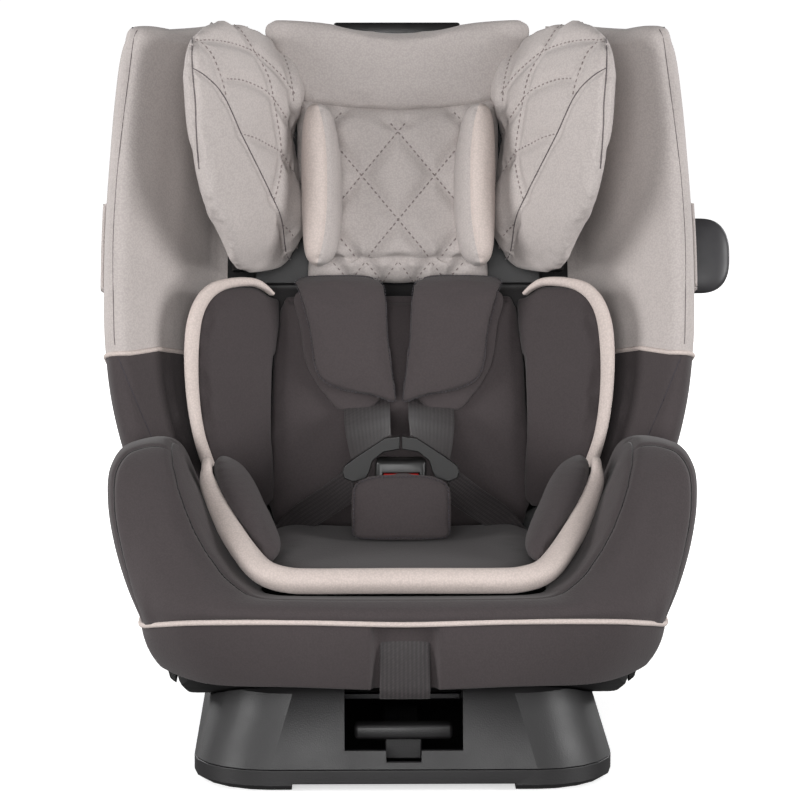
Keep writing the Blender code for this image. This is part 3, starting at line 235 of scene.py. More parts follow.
def tube(path, width, depth, facing, around=20, square=2.0, close=True):
    """A profile carried along a path: an oval, width across the path and depth along facing, where both
    may change along the way. Its ends shrink to a point."""
    p = np.asarray(path, float)
    ahead = np.gradient(p, axis=0)
    ahead /= np.linalg.norm(ahead, axis=1)[:, None]
    up = np.broadcast_to(np.asarray(facing, float), p.shape)
    up = up - (up * ahead).sum(1)[:, None] * ahead
    up = up / np.linalg.norm(up, axis=1)[:, None]
    across = np.cross(ahead, up)
    angle = np.linspace(0, 2 * math.pi, around, endpoint=False)
    c = np.sign(np.cos(angle)) * np.abs(np.cos(angle)) ** (2 / square)
    s = np.sign(np.sin(angle)) * np.abs(np.sin(angle)) ** (2 / square)
    a = np.broadcast_to(np.asarray(width, float) / 2, len(p))[:, None, None]
    b = np.broadcast_to(np.asarray(depth, float) / 2, len(p))[:, None, None]
    grid = p[:, None] + a * c[:, None] * across[:, None] + b * s[:, None] * up[:, None]
    if not close:
        return grid
    caps = []
    for end, step in ((0, -1), (-1, 1)):
        reach = float(np.minimum(a, b)[end, 0, 0]) * 0.6
        ring = p[end] + (grid[end] - p[end]) * 0.7 + ahead[end] * step * reach * 0.7
        point = np.broadcast_to(p[end] + ahead[end] * step * reach, ring.shape)
        caps.append((ring, point))
    return np.concatenate((caps[0][1][None], caps[0][0][None], grid, caps[1][0][None], caps[1][1][None]))


def swell(piece, cell, cap, pressure=4.0):
    """Fills a pad: even cells from a voxel remesh, 20 steps of Cloth under inside pressure with no gravity, and
    no point further than cap from where it started."""
    cells = piece.modifiers.new("even cells", "REMESH")
    cells.mode = "VOXEL"
    cells.voxel_size = cell
    even = piece.modifiers.new("even surface", "SMOOTH")
    even.factor = 0.5
    even.iterations = 4
    settle(piece)
    start = read(piece.data)
    cloth = piece.modifiers.new("filling", "CLOTH")
    cloth.settings.quality = 4
    cloth.settings.mass = 0.15
    cloth.settings.use_pressure = True
    cloth.settings.uniform_pressure_force = pressure
    cloth.settings.effector_weights.gravity = 0.0
    cloth.point_cache.frame_start = 1
    cloth.point_cache.frame_end = 20
    for step in range(1, 21):
        bpy.context.scene.frame_set(step)
    graph = bpy.context.evaluated_depsgraph_get()
    moved = read(piece.evaluated_get(graph).data) - start
    piece.modifiers.clear()
    bpy.context.scene.frame_set(1)
    far = np.linalg.norm(moved, axis=1)[:, None]
    write(piece.data, start + moved * np.minimum(1.0, cap / np.maximum(far, 1e-9)))
    return piece


def refine(piece, levels):
    """Each face split in four, levels times over, on the smooth limit surface."""
    finer = piece.modifiers.new("finer", "SUBSURF")
    finer.levels = finer.render_levels = levels
    return settle(piece)


def nearest(points, targets, block=8000):
    """For each point, the index of the nearest target and the distance to it."""
    middle = targets.mean(axis=0)
    p, q = (points - middle).astype(np.float32), (targets - middle).astype(np.float32)
    index = np.empty(len(p), int)
    size = (q**2).sum(1)
    for i in range(0, len(p), block):
        index[i : i + block] = (size - 2 * p[i : i + block] @ q.T).argmin(1)
    return index, np.linalg.norm(points - targets[index], axis=1)


def drape(piece, line, facing, upright=False, spacing=0.0008):
    """A line laid on the front of a piece: its (x, z) points, of the back frame or of the upright one,
    keep their place. The depth and the normal are those of the nearest point that looks along facing."""
    flat = spline(line, 12 * len(line))
    flat = evenly(flat, max(6, int(length_of(flat) / spacing)))
    points, normals = read(piece.data), read(piece.data, "normals")
    points = points if upright else to_back(points)
    close = ((points[:, [0, 2]] > flat.min(0) - 0.01) & (points[:, [0, 2]] < flat.max(0) + 0.01)).all(1)
    seen = np.nonzero(close & (normals @ np.asarray(facing, float) > 0.12))[0]
    near, far = nearest(flat, points[seen][:, [0, 2]])
    flat, near = flat[far < 0.0018], near[far < 0.0018]
    depth = points[seen][near, 1]
    kernel = np.ones(7) / 7
    depth = np.convolve(np.pad(depth, 3, mode="edge"), kernel, mode="valid")
    laid = np.stack((flat[:, 0], depth, flat[:, 1]), -1)
    return (laid if upright else from_back(laid)), normals[seen][near]


def press(piece, lines, depth, width):
    """Sinks the surface along its normals by depth on the lines and by less beside them, as the bell
    curve exp(-(distance / width)^2), where the thread pulls the padding down."""
    points, normals = read(piece.data), read(piece.data, "normals")
    line = np.concatenate([each[::3] for each in lines])
    around = np.nonzero(((points > line.min(0) - 3 * width) & (points < line.max(0) + 3 * width)).all(1))[0]
    _, far = nearest(points[around], line)
    points[around] -= normals[around] * (depth * np.exp(-((far / width) ** 2)))[:, None]
    write(piece.data, points)
    return piece


def seam_shade_lines(name, rows, body, key="dark_thread_and_seam_shade", girth=0.0013):
    """Thin dark lines of painted shade at the bottom of the seams, where two cloths fold into each other and the
    fold lies in shade: a round profile along each, half sunk."""
    for number, (points, normals) in enumerate(rows):
        path = evenly(points, max(8, int(length_of(points) / 0.003)))
        made = closed_piece(f"{name}_{number}", tube(path, girth, girth, normals.mean(axis=0), 8), finish(key))
        hand_in(made, body)


def stitch_row(points, normals, pitch, length, width):
    """One row of stitches as points and quads: a six-sided bead at every pitch, its length along the
    line and its height on the normal."""
    total = length_of(points)
    count = max(2, int(total / pitch))
    run = np.concatenate(([0], np.cumsum(np.linalg.norm(np.diff(points, axis=0), axis=1))))
    at = (np.arange(count) + 0.5) * total / count
    middle = np.stack([np.interp(at, run, points[:, k]) for k in range(3)], -1)
    after = np.stack([np.interp(at + 0.001, run, points[:, k]) for k in range(3)], -1)
    before = np.stack([np.interp(at - 0.001, run, points[:, k]) for k in range(3)], -1)
    along = after - before
    along /= np.maximum(np.linalg.norm(along, axis=1), 1e-9)[:, None]
    up = np.stack([np.interp(at, run, normals[:, k]) for k in range(3)], -1)
    up -= (up * along).sum(1)[:, None] * along
    up /= np.maximum(np.linalg.norm(up, axis=1), 1e-9)[:, None]
    side = np.cross(along, up)
    station = np.array((-0.5, -0.34, 0.34, 0.5)) * length
    girth = np.array((0.05, 0.5, 0.5, 0.05)) * width
    angle = np.arange(6) * math.pi / 3
    rings = (
        station[None, :, None, None] * along[:, None, None]
        + (girth[:, None] * np.cos(angle))[None, :, :, None] * side[:, None, None]
        + (girth[:, None] * np.sin(angle) * 0.6)[None, :, :, None] * up[:, None, None]
    )
    spots = middle[:, None, None] + rings
    index = np.arange(24).reshape(4, 6)
    ring = np.hstack((index, index[:, :1]))
    quads = np.stack((ring[:-1, :-1], ring[:-1, 1:], ring[1:, 1:], ring[1:, :-1]), -1).reshape(-1, 4)
    ends = np.array(((5, 4, 1, 0), (4, 3, 2, 1), (18, 19, 22, 23), (19, 20, 21, 22)))
    quads = np.concatenate((quads[:, ::-1], ends[:, ::-1]))
    every = (np.arange(count) * 24)[:, None, None] + quads[None]
    return spots.reshape(-1, 3), every.reshape(-1, 4)


def sew(name, rows, finish, body, pitch, length, width):
    """All the rows of stitches of one piece, as one mesh."""
    spots, quads, start = [], [], 0
    for points, normals in rows:
        p, q = stitch_row(points, normals, pitch, length, width)
        spots.append(p)
        quads.append(q + start)
        start += len(p)
    mesh = bpy.data.meshes.new(name)
    mesh.from_pydata(np.concatenate(spots).tolist(), [], np.concatenate(quads).tolist())
    mesh.shade_smooth()
    made = add_piece(name, mesh, finish)
    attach(made, body)
    return made


def mirror_piece(piece, name):
    """The same piece on the other side: x is reversed, and so is the order round each face."""
    mesh = piece.data.copy()
    mesh.name = name
    write(mesh, read(mesh) * (-1, 1, 1))
    mesh.flip_normals()
    made = bpy.data.objects.new(name, mesh)
    bpy.context.scene.collection.objects.link(made)
    for old in piece.modifiers:
        new = made.modifiers.new(old.name, old.type)
        for key in ("thickness", "offset", "levels", "render_levels", "width", "segments"):
            if hasattr(old, key):
                setattr(new, key, getattr(old, key))
    return made


def hand_in(piece, body, nodes=()):
    """Hangs a finished piece on its body and hides the solids that it stands for."""
    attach(piece, body)
    if nodes:
        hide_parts(*nodes)
    return piece


# =====================================================================================================
# Finishes
# =====================================================================================================
def linear(code):
    """An sRGB hex colour as linear red, green and blue."""
    share = np.array([int(code[i : i + 2], 16) for i in (1, 3, 5)]) / 255
    return tuple(np.where(share <= 0.04045, share / 12.92, ((share + 0.055) / 1.055) ** 2.4).tolist())


def add_node(tree, kind, settings=None, links=None):
    """One node: settings go to its sockets or its own options, links join sockets to its inputs."""
    node = tree.nodes.new(kind)
    for key, value in (settings or {}).items():
        if isinstance(key, int) or key in node.inputs:
            node.inputs[key].default_value = value
        else:
            setattr(node, key, value)
    for key, source in (links or {}).items():
        tree.links.new(node.inputs[key], source)
    return node


def start_finish(name, settings):
    """An empty finish: its node tree and its shader with the settings that are the same all over."""
    made = bpy.data.materials.new(name)
    made.use_nodes = True
    tree = made.node_tree
    shader = tree.nodes["Principled BSDF"]
    for key, value in settings.items():
        shader.inputs[key].default_value = value
    return made, tree, shader


def mix_colours(tree, low, high, share):
    """low where share is 0, high where it is 1, and a straight mix between them."""
    node = add_node(tree, "ShaderNodeMix", {"data_type": "RGBA"})
    node.inputs[6].default_value = (*low, 1.0)
    node.inputs[7].default_value = (*high, 1.0)
    tree.links.new(node.inputs[0], share)
    return node.outputs[2]


def shade_of(colour, times):
    """The colour made times as light, with no channel over 1."""
    return tuple(min(1.0, c * times) for c in colour)


def knitted_polyester(name, colour, sheen=0.08):
    """Warp-knitted polyester on thin foam. The face is matt columns of loops with a faint haze where it turns
    away. Loops are 0.7 mm apart, drawn at 1.5 mm so that they show, with painted shade that darkens the gaps
    between the loops, 6 mm mottling from the melange yarn and broad 90 mm patches where hands have brushed the
    nap."""
    settings = {"Roughness": 0.88, "Sheen Weight": sheen, "Sheen Roughness": 0.55, "IOR": 1.45}
    made, tree, shader = start_finish(name, settings)
    place = add_node(tree, "ShaderNodeTexCoord").outputs["Object"]
    loops = add_node(tree, "ShaderNodeTexVoronoi", {"Scale": 1 / 0.0015}, {"Vector": place})
    yarn = add_node(tree, "ShaderNodeTexNoise", {"Scale": 1 / 0.006, "Detail": 3.0}, {"Vector": place})
    nap = add_node(tree, "ShaderNodeTexNoise", {"Scale": 1 / 0.09, "Detail": 2.0}, {"Vector": place})
    first = mix_colours(tree, shade_of(colour, 0.95), shade_of(colour, 1.03), yarn.outputs["Fac"])
    dim = add_node(
        tree,
        "ShaderNodeMapRange",
        {"From Min": 0.35, "From Max": 0.65, "To Min": 0.97, "To Max": 1.03},
        {"Value": nap.outputs["Fac"]},
    )
    # Painted shade: the colour darkens from the middle of each loop towards the gaps between the loops.
    gap_shade = add_node(
        tree,
        "ShaderNodeMapRange",
        {"From Min": 0.0, "From Max": 0.75, "To Min": 1.05, "To Max": 0.86},
        {"Value": loops.outputs["Distance"]},
    )
    both = add_node(
        tree, "ShaderNodeMath", {"operation": "MULTIPLY"}, {0: dim.outputs[0], 1: gap_shade.outputs[0]}
    )
    scaled = add_node(
        tree, "ShaderNodeVectorMath", {"operation": "SCALE"}, {0: first, "Scale": both.outputs[0]}
    )
    tree.links.new(shader.inputs["Base Color"], scaled.outputs[0])
    bump = add_node(
        tree,
        "ShaderNodeBump",
        {"Strength": 0.25, "Distance": 0.0005, "invert": True},
        {"Height": loops.outputs["Distance"]},
    )
    soft = add_node(
        tree,
        "ShaderNodeBump",
        {"Strength": 0.06, "Distance": 0.002},
        {"Height": yarn.outputs["Fac"], "Normal": bump.outputs[0]},
    )
    tree.links.new(shader.inputs["Normal"], soft.outputs[0])
    return made


def two_tone(made, other):
    """A knitted finish with a second colour where the piece's cream_share is above zero. The change is
    sharp to within 0.6 mm, as at a seam."""
    tree = made.node_tree
    shader = tree.nodes["Principled BSDF"]
    plain = shader.inputs["Base Color"].links[0].from_node
    first = plain.inputs[0].links[0].from_node
    side = add_node(tree, "ShaderNodeAttribute", {"attribute_name": "cream_share"})
    share = add_node(
        tree, "ShaderNodeMapRange", {"From Min": -0.3, "From Max": 0.3}, {"Value": side.outputs["Fac"]}
    )
    tint = mix_colours(tree, (0, 0, 0), other, share.outputs[0])
    tree.links.new(tint.node.inputs[6], first.outputs[2])
    tree.links.new(plain.inputs[0], tint)
    return made


def woven_webbing(name, colour):
    """Polyester harness webbing in a tight twill. Its ribs lie 1.6 mm apart across the strap and its picks 2.2
    mm apart along it. Its colour holds a painted highlight on the raised twill and painted shade in the grooves,
    so it glints in short dashes. It reads the strap's own length and width from its UV map, in metres."""
    settings = {"Roughness": 0.62, "Sheen Weight": 0.15, "IOR": 1.5}
    made, tree, shader = start_finish(name, settings)
    own = add_node(tree, "ShaderNodeUVMap", {"uv_map": "strap"}).outputs[0]
    split = add_node(tree, "ShaderNodeSeparateXYZ", links={0: own})
    along = add_node(
        tree, "ShaderNodeMath", {"operation": "MULTIPLY", 1: 2 * math.pi / 0.0022}, {0: split.outputs[0]}
    )
    across = add_node(
        tree, "ShaderNodeMath", {"operation": "MULTIPLY", 1: 2 * math.pi / 0.0032}, {0: split.outputs[1]}
    )
    step = add_node(tree, "ShaderNodeMath", {"operation": "ADD"}, {0: along.outputs[0], 1: across.outputs[0]})
    twill = add_node(tree, "ShaderNodeMath", {"operation": "SINE"}, {0: step.outputs[0]})
    rib = add_node(tree, "ShaderNodeMath", {"operation": "SINE"}, {0: across.outputs[0]})
    height = add_node(
        tree, "ShaderNodeMath", {"operation": "MULTIPLY_ADD", 1: 0.5}, {0: twill.outputs[0], 2: rib.outputs[0]}
    )
    share = add_node(
        tree, "ShaderNodeMapRange", {"From Min": -1.5, "From Max": 1.5}, {"Value": height.outputs[0]}
    )
    fleck = add_node(tree, "ShaderNodeTexNoise", {"Scale": 1 / 0.003, "Detail": 2.0}, {"Vector": own})
    # Painted highlight and painted shade: the colour is lighter on the raised twill and darker in its grooves,
    # in random flecks.
    painted_glint = add_node(
        tree, "ShaderNodeMath", {"operation": "MULTIPLY"}, {0: share.outputs[0], 1: fleck.outputs["Fac"]}
    )
    tint = mix_colours(tree, shade_of(colour, 0.60), shade_of(colour, 2.2), painted_glint.outputs[0])
    tree.links.new(shader.inputs["Base Color"], tint)
    bump = add_node(
        tree, "ShaderNodeBump", {"Strength": 0.5, "Distance": 0.0004}, {"Height": share.outputs[0]}
    )
    tree.links.new(shader.inputs["Normal"], bump.outputs[0])
    return made


def moulded_polypropylene(name, colour, roughness, grain):
    """Injection-moulded polypropylene from a spark-eroded tool: an even satin grain, with faint handling marks
    that change its colour and gloss. grain is the size of one grain in metres."""
    made, tree, shader = start_finish(name, {"IOR": 1.49})
    place = add_node(tree, "ShaderNodeTexCoord").outputs["Object"]
    pits = add_node(tree, "ShaderNodeTexVoronoi", {"Scale": 1 / grain}, {"Vector": place})
    marks = add_node(tree, "ShaderNodeTexNoise", {"Scale": 1 / 0.05, "Detail": 5.0}, {"Vector": place})
    tint = mix_colours(tree, shade_of(colour, 0.85), shade_of(colour, 1.15), marks.outputs["Fac"])
    tree.links.new(shader.inputs["Base Color"], tint)
    gloss = add_node(
        tree,
        "ShaderNodeMapRange",
        {"From Min": 0.3, "From Max": 0.7, "To Min": roughness - 0.06, "To Max": roughness + 0.06},
        {"Value": marks.outputs["Fac"]},
    )
    tree.links.new(shader.inputs["Roughness"], gloss.outputs[0])
    bump = add_node(
        tree, "ShaderNodeBump", {"Strength": 0.22, "Distance": 0.0003}, {"Height": pits.outputs["Distance"]}
    )
    tree.links.new(shader.inputs["Normal"], bump.outputs[0])
    return made


def moulded_acetal(name, colour, roughness=0.28):
    """Acetal or nylon from a polished tool: smooth, half gloss, with fine hairline wear."""
    made, tree, shader = start_finish(name, {"IOR": 1.48})
    place = add_node(tree, "ShaderNodeTexCoord").outputs["Object"]
    wear = add_node(tree, "ShaderNodeTexNoise", {"Scale": 1 / 0.008, "Detail": 6.0}, {"Vector": place})
    tint = mix_colours(tree, shade_of(colour, 0.9), shade_of(colour, 1.2), wear.outputs["Fac"])
    tree.links.new(shader.inputs["Base Color"], tint)
    gloss = add_node(
        tree,
        "ShaderNodeMapRange",
        {"To Min": roughness - 0.08, "To Max": roughness + 0.1},
        {"Value": wear.outputs["Fac"]},
    )
    tree.links.new(shader.inputs["Roughness"], gloss.outputs[0])
    return made


def zinc_plated_steel(name):
    """Zinc-plated steel: bright, slightly milky, with a fine spangle of about 2 mm."""
    made, tree, shader = start_finish(name, {"Metallic": 1.0})
    place = add_node(tree, "ShaderNodeTexCoord").outputs["Object"]
    grain = add_node(tree, "ShaderNodeTexVoronoi", {"Scale": 1 / 0.002}, {"Vector": place})
    tint = mix_colours(tree, linear("#a9abad"), linear("#c4c6c8"), grain.outputs["Distance"])
    tree.links.new(shader.inputs["Base Color"], tint)
    gloss = add_node(
        tree, "ShaderNodeMapRange", {"To Min": 0.26, "To Max": 0.42}, {"Value": grain.outputs["Distance"]}
    )
    tree.links.new(shader.inputs["Roughness"], gloss.outputs[0])
    return made


def foot_rubber(name, colour):
    """Black thermoplastic rubber: dull, with a dusty bloom in 10 mm clouds."""
    made, tree, shader = start_finish(name, {"Roughness": 0.85})
    place = add_node(tree, "ShaderNodeTexCoord").outputs["Object"]
    bloom = add_node(tree, "ShaderNodeTexNoise", {"Scale": 1 / 0.01, "Detail": 4.0}, {"Vector": place})
    tint = mix_colours(tree, colour, shade_of(colour, 2.0), bloom.outputs["Fac"])
    tree.links.new(shader.inputs["Base Color"], tint)
    settings = {"Strength": 0.2, "Distance": 0.0004}
    bump = add_node(tree, "ShaderNodeBump", settings, {"Height": bloom.outputs["Fac"]})
    tree.links.new(shader.inputs["Normal"], bump.outputs[0])
    return made


def spun_thread(name, colour):
    """Spun polyester sewing thread: matt, two plies that show as light and dark every 0.5 mm."""
    made, tree, shader = start_finish(name, {"Roughness": 0.8, "Sheen Weight": 0.2})
    place = add_node(tree, "ShaderNodeTexCoord").outputs["Object"]
    ply = add_node(tree, "ShaderNodeTexNoise", {"Scale": 1 / 0.0005, "Detail": 1.0}, {"Vector": place})
    tint = mix_colours(tree, shade_of(colour, 0.7), shade_of(colour, 1.3), ply.outputs["Fac"])
    tree.links.new(shader.inputs["Base Color"], tint)
    return made


FINISHES = {}


def finish(key):
    """A finish by its short name, made once from the colours in the panel."""
    if key not in FINISHES:
        cover = bpy.context.scene.seat_cover
        parts = bpy.context.scene.seat_mouldings
        make = {
            "light": lambda: knitted_polyester("warm grey knitted polyester", tuple(cover.light)),
            "dark": lambda: knitted_polyester("charcoal knitted polyester", tuple(cover.dark)),
            "cream": lambda: knitted_polyester("cream knitted polyester", tuple(cover.cream)),
            "bolster": lambda: two_tone(
                knitted_polyester("grey and cream knitted polyester", tuple(cover.light)), tuple(cover.cream)
            ),
            # The lining is the back cushion's real cover, coloured near black as painted shade for the dark gap
            # behind the insert.
            "lining": lambda: knitted_polyester("near-black knit with painted shade", linear("#1c1a1b"), 0.1),
            "webbing": lambda: woven_webbing("charcoal polyester webbing", tuple(cover.webbing)),
            # The two seam finishes are painted shade for the dark lines in the seams' folds.
            "black_seam_shade": lambda: spun_thread("black painted seam shade", linear("#151314")),
            "light_seam_shade": lambda: spun_thread("dark painted seam shade", linear("#575051")),
            "light_thread": lambda: spun_thread("taupe sewing thread", linear("#7d7371")),
            # The slate thread also serves as painted shade in the lower back wings' seam fold.
            "dark_thread_and_seam_shade": lambda: spun_thread("slate sewing thread and painted seam shade", linear("#2f2b33")),
            "base": lambda: moulded_polypropylene(
                "grained charcoal polypropylene", tuple(parts.base), 0.50, 0.0011
            ),
            "shell": lambda: moulded_polypropylene(
                "grained black polypropylene", tuple(parts.shell), 0.46, 0.0013
            ),
            # The paddles are the housings' black plastic, coloured lighter as a painted highlight.
            "paddle": lambda: moulded_acetal("satin black polypropylene", linear("#343335"), 0.42),
            "fittings": lambda: moulded_acetal("black acetal", tuple(parts.fittings), 0.38),
            "red": lambda: moulded_acetal("red acetal", tuple(parts.button), 0.32),
            "steel": lambda: zinc_plated_steel("zinc-plated steel"),
            "rubber": lambda: foot_rubber("black thermoplastic rubber", linear("#1a1a1a")),
        }
        FINISHES[key] = make[key]()
    return FINISHES[key]


def coat(nodes, key):
    """Gives CAD solids a finish in place of their plain one."""
    for name in nodes:
        slots = frame["nodes"][name].material_slots
        for entry in slots:
            entry.material = finish(key)


# =====================================================================================================
# Covers of the back
# =====================================================================================================
def padded_pad(name, grid, key, cap, levels=2, cell=0.005):
    """A closed pad: its starting shape, filled by simulation, then smoothed."""
    made = closed_piece(name, grid, finish(key))
    swell(made, cell, cap)
    return refine(made, levels)


def inset(outline, by):
    """The outline with every point moved towards its middle by the same length."""
    p = np.asarray(outline, float)
    away = p - p.mean(axis=0)
    return p - away / np.linalg.norm(away, axis=1)[:, None] * by


def closed_line(points, count=160):
    """A smooth closed outline through the points."""
    return spline(points, count, closed=True)


def both_sides(piece, stem, body, stems):
    """Names and hangs a pad of the +X side and its mirror image. stems are the CAD names it replaces."""
    piece.name = f"{stem}_right"
    piece.data.name = piece.name
    twin = mirror_piece(piece, f"{stem}_left")
    for label, made in (("right", piece), ("left", twin)):
        hand_in(made, body, [f"{node}_{label}" for node in stems])
    return piece, twin


def both_rows(rows):
    """Rows of stitches for +X and their mirror images."""
    turn = np.array((-1.0, 1, 1))
    return list(rows) + [(points * turn, normals * turn) for points, normals in rows]


HALF_WIDTHS = (
    (0.000, 0.190), (0.050, 0.214), (0.100, 0.228), (0.152, 0.2345), (0.200, 0.2355),
    (0.250, 0.2345), (0.300, 0.2315), (0.350, 0.2275), (0.390, 0.2225), (0.412, 0.2150),
)
WING_SECTION = (
    (0.0062, -0.0600), (0.0058, -0.0700), (0.0030, -0.0795), (-0.0030, -0.0850), (-0.0145, -0.0835),
    (-0.0300, -0.0685), (-0.0425, -0.0515), (-0.0540, -0.0350), (-0.0640, -0.0160), (-0.0730, 0.0020),
    (-0.0800, 0.0150), (-0.0900, 0.0225), (-0.1130, 0.0240),
)
WING_CORNER = (
    (0.4008, 0.2252), (0.4108, 0.2232), (0.4160, 0.2190), (0.4195, 0.2100), (0.4217, 0.1960), (0.4225, 0.1800),
)


def half_width(z):
    """The shell's half width at a height up the back: a smooth curve through HALF_WIDTHS."""
    fine = spline(HALF_WIDTHS, 120)
    return np.interp(z, fine[:, 0], fine[:, 1])


def wing_sheet(share, z, top=0.0):
    """The back wing's outer face. share goes along its section from the hem to the inner edge, z up the
    back, and top from 0 to 1 over the rounded top corner, where the section narrows and turns back
    through a quarter of a circle. The section keeps its distances from the shell's half width."""
    section = evenly(spline(WING_SECTION, 200), 400)
    at = np.clip((share - 0.12) / 0.88, 0, 1) * 399
    index = np.arange(400)
    offset = np.interp(at, index, section[:, 0])
    y = np.interp(at, index, section[:, 1])
    gap = np.clip((0.043 - np.abs(z - 0.2325)) / 0.008, 0, 1)
    hem = -0.015 - 0.047 * gap * gap * (3 - 2 * gap)
    y = np.where(share < 0.12, hem + (y - hem) * share / 0.12, y)
    corner = spline(WING_CORNER, 60)
    outer = np.where(top > 0, np.interp(top, np.linspace(0, 1, 60), corner[:, 1]), half_width(z) + 0.0060)
    x = outer + (offset - 0.0062) * (1 - 0.55 * top)
    z = np.where(top > 0, np.interp(top, np.linspace(0, 1, 60), corner[:, 0]), z)
    y = y + (0.028 - y) * (1 - np.cos(top * math.pi / 2))
    z = z + 0.012 * np.clip((z - 0.33) / 0.08, 0, 1) ** 2 * np.clip((share - 0.40) / 0.35, 0, 1)
    return from_back(np.stack(np.broadcast_arrays(x, y, z), -1))


def colour_line(share):
    """How far up the back the dark cloth ends."""
    return np.interp(share, (0, 0.30, 0.45, 1), (0.1400, 0.1420, 0.1485, 0.1500))


def make_back_wings(cover):
    """Dark cloth from the hem to the colour line and light cloth from there over the top corner. Both are
    the wing sheet, with z a straight mix of its two ends, and a cream cord covers where they meet."""
    share = np.linspace(0, 1, 130)[None]
    rise = np.linspace(0, 1, 90)[:, None]
    meet = colour_line(share)
    low = wing_sheet(share, 0.040 + (meet - 0.040) * rise)
    straight = wing_sheet(share, meet + (0.4008 - meet) * np.linspace(0, 1, 150)[:, None])
    turn = np.linspace(0, 1, 30)[1:, None]
    high = np.concatenate((straight, wing_sheet(share, np.full_like(turn, 0.41), turn)))
    line = ((0.2312, 0.1490), (0.2320, 0.1630), (0.2331, 0.2268), (0.2309, 0.2761), (0.2270, 0.3174),
            (0.2191, 0.3836), (0.2167, 0.4019), (0.2140, 0.4090))
    low_line = ((0.2290, 0.1400), (0.2148, 0.1057), (0.2001, 0.0715), (0.1900, 0.0500))
    for name, grid, key, slot, seam in (
        ("back_wing_lower", low, "dark", "charcoal_fabric", low_line),
        ("back_wing_upper", high, "light", "grey_fabric", line),
    ):
        made = skin_piece(f"{name}_right", grid, finish(key), (0.3, -1, 0), 0.003)
        points = drape(made, seam, (0.1, -1, 0))[0]
        press(made, [points], cover.seam_depth * 0.35, 0.0025)
        rows = both_rows([drape(made, seam, (0.1, -1, 0))])
        # The dark line along the seam is painted shade in its fold.
        key = "dark_thread_and_seam_shade" if slot == "charcoal_fabric" else "light_seam_shade"
        seam_shade_lines(f"{name}_seam", rows, "seat", key, 0.0006)
        both_sides(made, name, "seat", (name,))
    way = wing_sheet(share[0], meet[0])
    for side, label in SIDES:
        grid = tube(flipped(way, side), 0.0040, 0.0040, (0, -0.3, 1), 14)
        made = closed_piece(f"back_wing_piping_{label}", grid, finish("cream"))
        hand_in(made, "seat")


WING = (
    (0.1740, 0.3965), (0.1775, 0.3738), (0.1777, 0.3560), (0.1752, 0.3179), (0.1702, 0.2934), (0.1616, 0.2573),
    (0.1531, 0.2390), (0.1444, 0.2221), (0.1387, 0.2123), (0.1301, 0.2086), (0.1156, 0.2105), (0.1014, 0.2156),
    (0.0924, 0.2225), (0.0842, 0.2316), (0.0791, 0.2430), (0.0765, 0.2536), (0.0761, 0.2657), (0.0784, 0.2835),
    (0.0800, 0.3068), (0.0800, 0.3363), (0.0763, 0.3711), (0.0790, 0.3875), (0.0849, 0.4018), (0.0923, 0.4115),
    (0.1040, 0.4206), (0.1171, 0.4256), (0.1317, 0.4263), (0.1433, 0.4257), (0.1534, 0.4215), (0.1605, 0.4162),
    (0.1676, 0.4063),
)
WING_SEAMS = (
    ((0.1669, 0.3680), (0.1549, 0.3612), (0.1421, 0.3485), (0.1283, 0.3201), (0.1161, 0.2971),
     (0.1022, 0.2710), (0.0965, 0.2573), (0.0933, 0.2342), (0.0883, 0.2296)),
    ((0.1591, 0.4190), (0.1676, 0.4095), (0.1679, 0.3945), (0.1668, 0.3664), (0.1646, 0.3401),
     (0.1631, 0.3015), (0.1602, 0.2726), (0.1559, 0.2507), (0.1487, 0.2291), (0.1403, 0.2137)),
)
WING_QUILT = (
    ((0.1654, 0.3957), (0.1574, 0.3892), (0.1504, 0.3801), (0.1432, 0.3602), (0.1404, 0.3487)),
    ((0.1439, 0.4236), (0.1316, 0.4155), (0.1186, 0.3949), (0.1084, 0.3779), (0.1040, 0.3622),
     (0.0998, 0.3383), (0.0967, 0.3160), (0.0967, 0.2997), (0.1004, 0.2798), (0.1031, 0.2713)),
    ((0.1072, 0.4234), (0.0966, 0.4050), (0.0893, 0.3802), (0.0864, 0.3550)),
    ((0.1678, 0.3914), (0.1561, 0.3952), (0.1389, 0.3974), (0.1215, 0.3957), (0.1104, 0.3901),
     (0.0981, 0.3806), (0.0893, 0.3707), (0.0792, 0.3550)),
    ((0.1413, 0.3637), (0.1287, 0.3657), (0.1171, 0.3640), (0.1071, 0.3602), (0.0981, 0.3505),
     (0.0893, 0.3380), (0.0817, 0.3252)),
    ((0.1280, 0.3202), (0.1171, 0.3192), (0.1071, 0.3165), (0.0967, 0.3131), (0.0894, 0.3034), (0.0792, 0.2884)),
    ((0.0967, 0.2556), (0.0894, 0.2496), (0.0850, 0.2425), (0.0842, 0.2367)),
)


